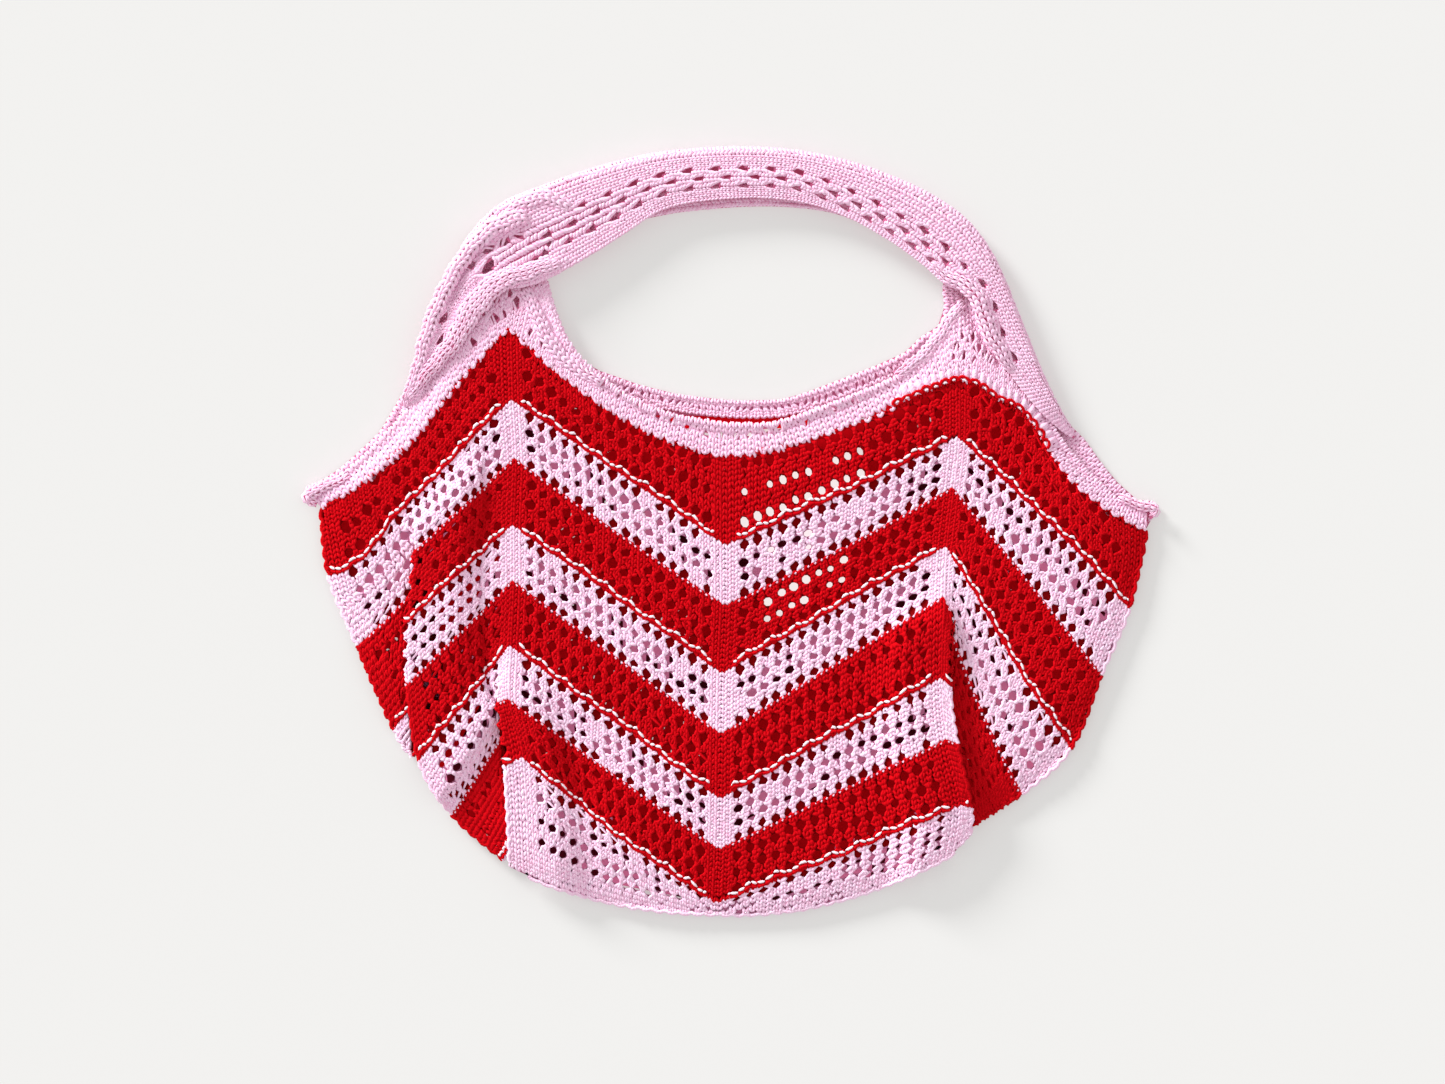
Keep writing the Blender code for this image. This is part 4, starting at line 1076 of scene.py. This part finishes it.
def yoke_surface():
    """The front yoke: a counts its wales from the left corner, b goes from the net's edge to its own."""
    fine = smooth_line(FRONT_YOKE)
    run = run_along((fine[:, :2] + fine[:, 2:4]) / 2)
    at = np.arange(0, run[-1], YOKE_PITCH / 2)
    lines = np.column_stack([np.interp(at, run, column) for column in fine.T])
    low = crown(lines[:, :2]) + YOKE_CLEAR
    rows = []
    for level in np.linspace(-0.2, 1, 25):
        share = max(level, 0.0)
        places = lines[:, :2] + (lines[:, 2:4] - lines[:, :2]) * level
        height = low + (lines[:, 4] / 1000 - low) * ease(share)
        turn = -0.5 * ease((share - 0.5) * 6)
        if share > 0.68:
            turn = 1.7 * math.sin(math.pi * (share - 0.68) / 0.42)
        dip = RECESS_DEEP * np.exp(-((distance_to_line(places, RECESS) / 5.5) ** 2))
        dip = dip * ease((share - 0.3) / 0.2)
        height = height + lines[:, 5] / 1000 * turn - 0.0016 * ease((share - 0.9) / 0.1)
        rows.append(world(places, height - dip))
    return Surface(np.array(rows), len(lines) / 2, 1.2)


def back_yoke_surface():
    """The part of the back yoke that shows: b goes from inside to its outer edge."""
    edge, _ = resampled(smooth_line(BACK_EDGE, 6), YOKE_PITCH / 2)
    along = unit(np.gradient(edge, axis=0))
    along = unit(sum(np.roll(along, n, axis=0) for n in range(-4, 5)))
    inward = np.column_stack([-along[:, 1], along[:, 0]])
    near = np.minimum(np.arange(len(edge)), np.arange(len(edge))[::-1]) * YOKE_PITCH / 2
    wide = 7 + (BACK_YOKE_SEEN - 7) * ease((near - 6) / 30)
    mouth = ease((90 - np.abs(edge[:, 0] - 732)) / 30) * (edge[:, 1] > 380)
    wide -= (BACK_YOKE_SEEN - 17) * mouth
    rows = []
    for level in np.linspace(0, 1, 17):
        roll = 0.0009 * math.sin(math.pi * (level - 0.7) / 0.34) if level > 0.7 else 0.0
        rows.append(world(edge + inward * (wide * (1 - level))[:, None], BACK_LEVEL + roll))
    return Surface(np.array(rows), len(edge) / 2, 1.0)


def handle_surface():
    """The handle: a counts wales from the upper layer's free edge round the fold, b its courses."""
    lines, long = resampled(smooth_line(HANDLE, 10), 3.0)
    eyelet_x, *eyelet_rows = zip(*EYELET_ROWS)
    rows = []
    for fx, fy, ex, ey, share, low, high in lines:
        fold, edge = world((fx, fy))[:2], world((ex, ey))[:2]
        low, high = max(low / 1000, STRIP_THICK / 2), high / 1000
        out = (fold - edge) / np.linalg.norm(fold - edge)
        fold = fold - out * STRIP_THICK / 2
        way = edge - fold
        profile = [[*(fold + way * s), high + lift * (high - low)] for s, lift in UPPER_PROFILE]
        profile += [[*(fold + out * s), high + (low - high) * drop] for s, drop in FOLD_PROFILE]
        profile += [[*(fold + way * s * share), low] for s in LOWER_PROFILE]
        upper, _ = resampled(smooth_line(profile[:4]), 0.0003)
        rest, _ = resampled(smooth_line(profile[3:]), 0.0012)
        shares = [np.interp(fx, eyelet_x, row) for row in eyelet_rows]
        wales = (0, *EYELET_LINES, HANDLE_WALES)
        spread = np.interp(np.linspace(0, HANDLE_WALES, 41), wales, (0, *shares, 1))
        upper = np.array([upper[int(round(t * (len(upper) - 1)))] for t in spread])
        rest = np.array([rest[int(round(t))] for t in np.linspace(0, len(rest) - 1, 41)])
        rows.append(np.vstack([upper, rest[1:]]))
    table = np.array(rows)
    places = table[..., :2] / [GRID, -GRID] + [MIDDLE_X, MIDDLE_Y]
    upper = np.arange(table.shape[1]) < 44
    for line, height, wide in HANDLE_RELIEF:
        far = distance_to_line(places.reshape(-1, 2), line).reshape(places.shape[:2])
        table[..., 2] += np.exp(-((far / wide) ** 2)) * height / 1000 * upper
    return Surface(table, 2.0 * HANDLE_WALES, long / HANDLE_COURSE)


def over(surface, places):
    """The height of a surface's upper side over places on the grid."""
    table = surface.table.reshape(-1, 3)
    found = np.empty(len(places))
    for n, place in enumerate(world(places)[:, :2]):
        far = np.abs(table[:, 0] - place[0]) + np.abs(table[:, 1] - place[1])
        found[n] = table[far < far.min() + 4 * GRID, 2].max()
    return found


def roll_surface(under, line, wales):
    """A narrow roll of knit on another surface: a counts its wales, b its courses.

    line holds x, y and the half width on the grid, and the height of the roll's middle in mm.
    """
    step = 2.5
    line, long = resampled(smooth_line(line, 6), step)
    way = unit(np.gradient(line[:, :2], axis=0))
    across = np.column_stack([-way[:, 1], way[:, 0]])
    run = np.arange(len(line)) * step
    line[:, :2] += across * (0.7 * np.sin(run / 4.3 + wales))[:, None]
    half = line[:, 2:3] * (1 + 0.07 * np.sin(run / 3.1)[:, None])
    t = np.linspace(-1, 1, 8 * wales + 1)
    ribs = 1 - 0.30 * np.cos(math.pi * wales * (t + 1) / 2) ** 2
    places = line[:, None, :2] + across[:, None] * (half * t)[..., None]
    low = over(under, places.reshape(-1, 2)).reshape(places.shape[:2])
    padded = np.pad(low, ((3, 3), (0, 0)), mode="edge")
    low = sum(padded[n : n + len(low)] for n in range(7)) / 7
    ends = np.clip(np.minimum(run, run[::-1]) / 6, 0.1, 1)[:, None]
    height = line[:, 3:4] / 1000 * np.sqrt(1 - 0.97 * t**2) * ribs * np.sqrt(ends)
    return Surface(world(places, low + height), float(wales), long / ROLL_COURSE)


def rolls(knit, under, lines, slot, base_slot):
    for line, wales in lines:
        surface = roll_surface(under, line, wales)
        base_sheet(knit, surface, None, base_slot, depth=ROLL_DEPTH)
        courses = np.arange(max(int(surface.b_end), 1)) + 0.5
        for wale in range(int(surface.a_end)):
            stitches(knit, surface, wale, courses, 1, slot, ROLL_YARN)


def feed(tree, node, inputs):
    """Gives a node's inputs values, or links them to other nodes' outputs."""
    for name, value in inputs.items():
        if isinstance(value, bpy.types.NodeSocket):
            tree.links.new(value, node.inputs[name])
        else:
            node.inputs[name].default_value = value


def add_node(tree, kind, inputs={}, **settings):
    node = tree.nodes.new("ShaderNode" + kind)
    for name, value in settings.items():
        setattr(node, name, value)
    feed(tree, node, inputs)
    return node.outputs


def new_material(name):
    """A material, its nodes and its shader."""
    made = bpy.data.materials.new(name)
    made.use_nodes = True
    return made, made.node_tree, made.node_tree.nodes["Principled BSDF"]


def yarn_material(name, light, dark, ply=True, glow=0.0):
    """Cotton yarn: plies along each strand and fibres in the bump. Its colour is mixed at random, in
    patches and by each strand's tone, from light towards dark; where dark is the yarn's colour in shade,
    this is partly uneven dye and partly painted shade.

    glow makes it glow: painted light that brightens it where it lies in shade.
    """
    made, tree, shader = new_material(name)
    place = add_node(tree, "TexCoord")
    patchy = add_node(tree, "TexNoise", {"Scale": 420, "Detail": 3, "Vector": place["Object"]})
    span = {"From Min": 0.35, "From Max": 0.72, "To Max": 0.3, "Value": patchy["Fac"]}
    tone = add_node(tree, "Attribute", attribute_name="tone")
    less = add_node(tree, "Math", {0: 1.0, 1: tone["Fac"]}, operation="SUBTRACT")
    both = add_node(tree, "Math", {0: add_node(tree, "MapRange", span)["Result"], 1: less[0]},
                    operation="ADD", use_clamp=True)
    mix = add_node(tree, "Mix", {"A": (*light, 1), "B": (*dark, 1), "Factor": both[0]}, data_type="RGBA")
    fibre = add_node(tree, "TexNoise", {"Scale": 2600, "Detail": 4, "Vector": place["Object"]})
    height = fibre["Fac"]
    if ply:
        wave = {"Scale": 420, "Distortion": 1.5, "Vector": place["UV"]}
        wave = add_node(tree, "TexWave", wave, bands_direction="DIAGONAL")
        height = add_node(tree, "Math", {0: fibre["Fac"], 1: wave["Fac"]}, operation="ADD")[0]
    bump = add_node(tree, "Bump", {"Strength": 0.3, "Distance": 0.00025, "Height": height})
    feed(tree, shader, {"Roughness": 0.85, "Specular IOR Level": 0.06, "Base Color": mix["Result"],
                        "Normal": bump["Normal"]})
    if glow:
        feed(tree, shader, {"Emission Color": (*light, 1), "Emission Strength": glow})
    return made


def floor_material():
    """Pale paper that glows evenly, and more in a spot under the bag's right middle: a painted pool of
    light where light shows through the nets.
    """
    made, tree, shader = new_material("paper")
    spot = {"Location": [-c / SPOT_RADIUS for c in world(SPOT)], "Scale": (1 / SPOT_RADIUS,) * 3,
            "Vector": add_node(tree, "TexCoord")["Object"]}
    fade = {"Vector": add_node(tree, "Mapping", spot)["Vector"]}
    fade = add_node(tree, "TexGradient", fade, gradient_type="SPHERICAL")["Fac"]
    lit = {"From Max": SPOT_EDGE, "To Min": FLOOR_GLOW, "To Max": SPOT_GLOW, "Value": fade}
    feed(tree, shader, {"Base Color": (*FLOOR, 1), "Roughness": 0.9, "Specular IOR Level": 0.1,
                        "Emission Color": FLOOR_LIGHT,
                        "Emission Strength": add_node(tree, "MapRange", lit)["Result"]})
    return made


def shade(colour, share):
    return tuple(c * share for c in colour)


# Light, floor and camera
scene = bpy.context.scene
scene.view_settings.view_transform = "Standard"
sky = bpy.data.worlds.new("studio")
scene.world = sky
sky.use_nodes = True
feed(sky.node_tree, sky.node_tree.nodes["Background"], {"Color": SKY, "Strength": SKY_STRENGTH})
sun = bpy.data.lights.new("key", "SUN")
sun.energy, sun.angle = SUN_STRENGTH, math.radians(SUN_SPREAD)
key = bpy.data.objects.new("key", sun)
key.rotation_euler = Vector(SUN_FROM).to_track_quat("Z", "Y").to_euler()
scene.collection.objects.link(key)
bpy.ops.mesh.primitive_plane_add(size=6)
floor = bpy.context.object
floor.name = "floor"
floor.data.materials.append(floor_material())
lens = bpy.data.cameras.new("camera")
lens.sensor_fit, lens.sensor_width, lens.clip_end = "HORIZONTAL", SENSOR, 20
lens.lens = SENSOR * CAMERA_HEIGHT / (PHOTO_WIDTH * GRID)
camera = bpy.data.objects.new("camera", lens)
camera.location = (
    (PHOTO_WIDTH / 2 - MIDDLE_X) * GRID, (MIDDLE_Y - PHOTO_HEIGHT / 2) * GRID, CAMERA_HEIGHT
)
scene.collection.objects.link(camera)
scene.camera = camera

# The yarns, with their colours in shade mixed in at random as painted shade
red = yarn_material("red_yarn", RED, RED_SHADED)
pink = yarn_material("pink_yarn", PINK, PINK_SHADED)
trim = yarn_material("trim_yarn", TRIM, TRIM_SHADED)
chain = yarn_material("chain_yarn", CHAIN, PINK)
# Base sheets under the stitches: the yarns' shaded colours darkened further, painted shade between the
# stitches
red_base = yarn_material("red_base", shade(RED_SHADED, 0.7), shade(RED_SHADED, 0.5), ply=False)
pink_base = yarn_material("pink_base", shade(PINK_SHADED, 0.7), shade(PINK_SHADED, 0.5), ply=False)
# The base sheets under the trim and handle: painted shade, and they glow as painted light
trim_base = yarn_material("trim_base", TRIM_BASE_SHADE, shade(TRIM_BASE_SHADE, 0.75), ply=False, glow=TRIM_GLOW)
# The back's red and pink glow: painted light in their shade
back_red = yarn_material("back_red", RED, RED_SHADED, ply=False, glow=BACK_RED_GLOW)
# Painted shade: back_shade is red yarn in deep shade on some tiles of the back's pink stripes, and
# back_pink is the pink yarn darkened as in shade
back_shade = yarn_material("back_shade", BACK_SHADE, BACK_SHADE, ply=False)
back_pink = yarn_material("back_pink", BACK_PINK, BACK_PINK, ply=False, glow=BACK_PINK_GLOW)

# The front's net
inner_left, inner_right = inner_surface("left", "b"), inner_surface("right", "c")
outer_left, outer_right = chain_surface(left_row, 48.0), chain_surface(right_row, 42.0)
outer_right.knit = DRAWN_KNIT
front_surfaces = (inner_left, inner_right, outer_left, outer_right)
front_gaps = [Gaps(s) for s in front_surfaces]
# The first row is closed where the trim's stitches would show through it
for n, first, last in ((0, 2, 6), (2, 14, 99), (3, 14, 99)):
    front_gaps[n].there[0, first:last] = False
lit_columns = front_gaps[1].a > LIT_PARTS[0][0]
front_gaps[1].half_a[:3, lit_columns] *= LIT_COLUMNS_WIDE
front_gaps[1].half_b[:3, lit_columns] *= LIT_COLUMNS_TALL
base = Knit()
for surface, gaps in zip(front_surfaces, front_gaps):
    base_net(base, surface, gaps, edge=SHUT_EDGE)
front_base = base.make("front_net_base", (red_base, pink_base))
weld(front_base)
for name, chosen in (("left_middle", (0,)), ("right_middle", (1,)), ("sides", (2, 3))):
    knit = Knit()
    for n in chosen:
        net_stitches(knit, front_surfaces[n], front_gaps[n])
    knit.make("front_net_" + name, (red, pink))
knit = Knit()
for surface, last, loops_from in ((inner_left, 34.2, 0.6), (inner_right, 34.2, 10),
                                  (outer_left, 99, 0.6), (outer_right, 99, 13)):
    chain_rows(knit, surface, 1.6, last, (1, 0))
    boundary_dots(knit, surface, 0.8, min(last, 35.2), 2)
    trim_loops(knit, surface, loops_from, min(35.4, float(surface.reach(0.0)) - 0.5), 3)
knit.make("front_chains", (red, chain, pink, trim))
knit = Knit()
for surface in (outer_left, outer_right):
    rim_cords(knit, surface, 0.05, 7.9, False)
for surface in (inner_left, inner_right):
    rim_cords(knit, surface, 0, ARM_WALES, True)
knit.make("front_edges", (red, pink))

# The back's net
back_surfaces = (
    flat_surface("peak_left", "centre"), flat_surface("peak_right", "centre", sag="sag_right"),
    flat_surface("peak_left", "seam_left", 340), flat_surface("peak_right", "seam_right", 300),
)
front_places = Places(front_surfaces, front_gaps)
base = Knit()
for n, surface in enumerate(back_surfaces):
    gaps = Gaps(surface, first=3 if n == 1 else 4, chance_shut=0.0)
    a, b = np.meshgrid(gaps.a, gaps.b)
    gaps.there &= front_places.nearest_to(surface.at(a, b)[..., :2]) > BACK_CLEAR
    gaps.half_a, gaps.half_b = gaps.half_a * BACK_GAP, gaps.half_b * BACK_GAP
    if n == 1:
        some, lit = chance.random(a.shape), np.zeros(a.shape, bool)
        for a_from, a_to, b_from, b_to, share in LIT_PARTS:
            lit |= (a > a_from) & (a < a_to) & (b > b_from) & (b < b_to) & (some < share)
        over_it = front_gaps[1]
        gaps.there |= lit
        gaps.shift_a, gaps.shift_b = over_it.shift_a, over_it.shift_b
        gaps.half_a = np.where(lit, over_it.half_a * BACK_LIT_GAP, gaps.half_a)
        gaps.half_b = np.where(lit, over_it.half_b, gaps.half_b)
    base_net(base, surface, gaps, 0.0, stripe=BACK_STRIPE, light=LIGHT_PARTS[n], front=front_places)
for line, way in RED_STRIPS:
    strip = np.concatenate([world(line, STRIP_LEVEL), world(np.add(line, way), STRIP_LEVEL)])
    quads = np.array([(n, n + 1, n + 6, n + 5) for n in range(4)])
    base.add(strip, quads, np.zeros(4, int), np.zeros((10, 2)), np.full(10, BASE_SHADE_TONE))
back_base = base.make("back_net_base", (back_red, back_pink, back_shade))
weld(back_base)

# The front's trim
yoke = yoke_surface()
slits = Slits(yoke, [*((p, YOKE_DOT, YOKE_DOT, 0) for p in YOKE_DOTS), *YOKE_SLITS])
base = Knit()
base_sheet(base, yoke, slits, 0, first=0.2)
yoke_base = base.make("front_trim_base", (trim_base,))
knit = Knit()
for wale in range(int(yoke.a_end)):
    wide = yoke.pitch_b(wale + 0.5, 0.7, 0.4)
    count = max(int(round(wide / YOKE_COURSE)), 2)
    tooth = TEETH[wale % 4] * TEETH_WIDE / wide
    b = 0.2 - tooth + (np.arange(count) + 0.5) * (1 + tooth) / count
    stitches(knit, yoke, wale, b, (1 + tooth) / count, 0, TRIM_YARN, slits)
petals(knit, yoke, (906, 397), (1046, 446), PETAL_PITCH, PETAL_LONG, 0)
scallops(knit, yoke, (893, 404), (1046, 446), SCALLOP_PITCH, 1, 2)
rolls(knit, yoke, YOKE_ROLLS, 0, 3)
yoke_knit = knit.make("front_trim_knit", (trim, red, chain, trim_base))

# The back's trim
back_yoke = back_yoke_surface()
dots, _ = resampled(smooth_line(MOUTH_DOTS), MOUTH_DOT_PITCH)
dots = Slits(back_yoke, [(p, MOUTH_DOT, MOUTH_DOT, 0) for p in dots])
base = Knit()
base_sheet(base, back_yoke, dots, 0, step=2.2)
back_yoke_rim = base.make("back_trim_rim", (trim_base,))
knit = Knit()
b = (np.arange(BACK_YOKE_COURSES) + 0.5) / BACK_YOKE_COURSES
for wale in range(int(back_yoke.a_end)):
    stitches(knit, back_yoke, wale, b, 1 / BACK_YOKE_COURSES, 0, TRIM_YARN, dots)
back_yoke_knit = knit.make("back_trim_knit", (trim,))
outline = [tuple(p) for p in world((*BACK_JOIN, *BACK_EDGE[::-1]), JOIN_LEVEL)]
mesh = bpy.data.meshes.new("back_trim_base")
mesh.from_pydata(outline, [], tessellate_polygon([[Vector(p) for p in outline]]))
mesh.materials.append(trim_base)
back_yoke_base = bpy.data.objects.new("back_trim_base", mesh)
scene.collection.objects.link(back_yoke_base)
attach(back_yoke_base, "root")

# The handle
handle = handle_surface()
slits = Slits(handle, HANDLE_SLITS)
ends = [handle.find(place)[1] for place in ((531, 268), (548, 240), (560, 205), (975, 277), (1014, 366))]
middle = handle.find((743, 175))[1]
eyelets = Eyelets(handle, (
    (EYELET_LINES[0], middle, ends[0], ends[3]), (EYELET_LINES[1], middle + 2.8, ends[1], ends[4]),
    (EYELET_LINES[2], middle, ends[2], ends[4]),
))
base = Knit()
base_sheet(base, handle, slits, 0, eyelets=eyelets)
handle_base = base.make("handle_base", (trim_base,))
knit = Knit()
courses = np.arange(int(handle.b_end)) + 0.5
for start, end in (*zip(HANDLE_WALE_EDGES[:-1], HANDLE_WALE_EDGES[1:]), (13, 14), (14, 15), (15, 16)):
    face = -1 if start > 12 else 1
    stitches(knit, handle, start, courses, 1, 0, HANDLE_YARN, slits, eyelets, end - start, face)
rolls(knit, handle, HANDLE_ROLLS, 0, 1)
handle_knit = knit.make("handle_knit_yarn", (trim, trim_base))

for piece, node in ((front_base, "front_panel"), (back_base, "back_panel"), (yoke_base, "front_yoke"),
                    (back_yoke_base, "back_yoke"), (handle_base, "handle")):
    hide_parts(node)
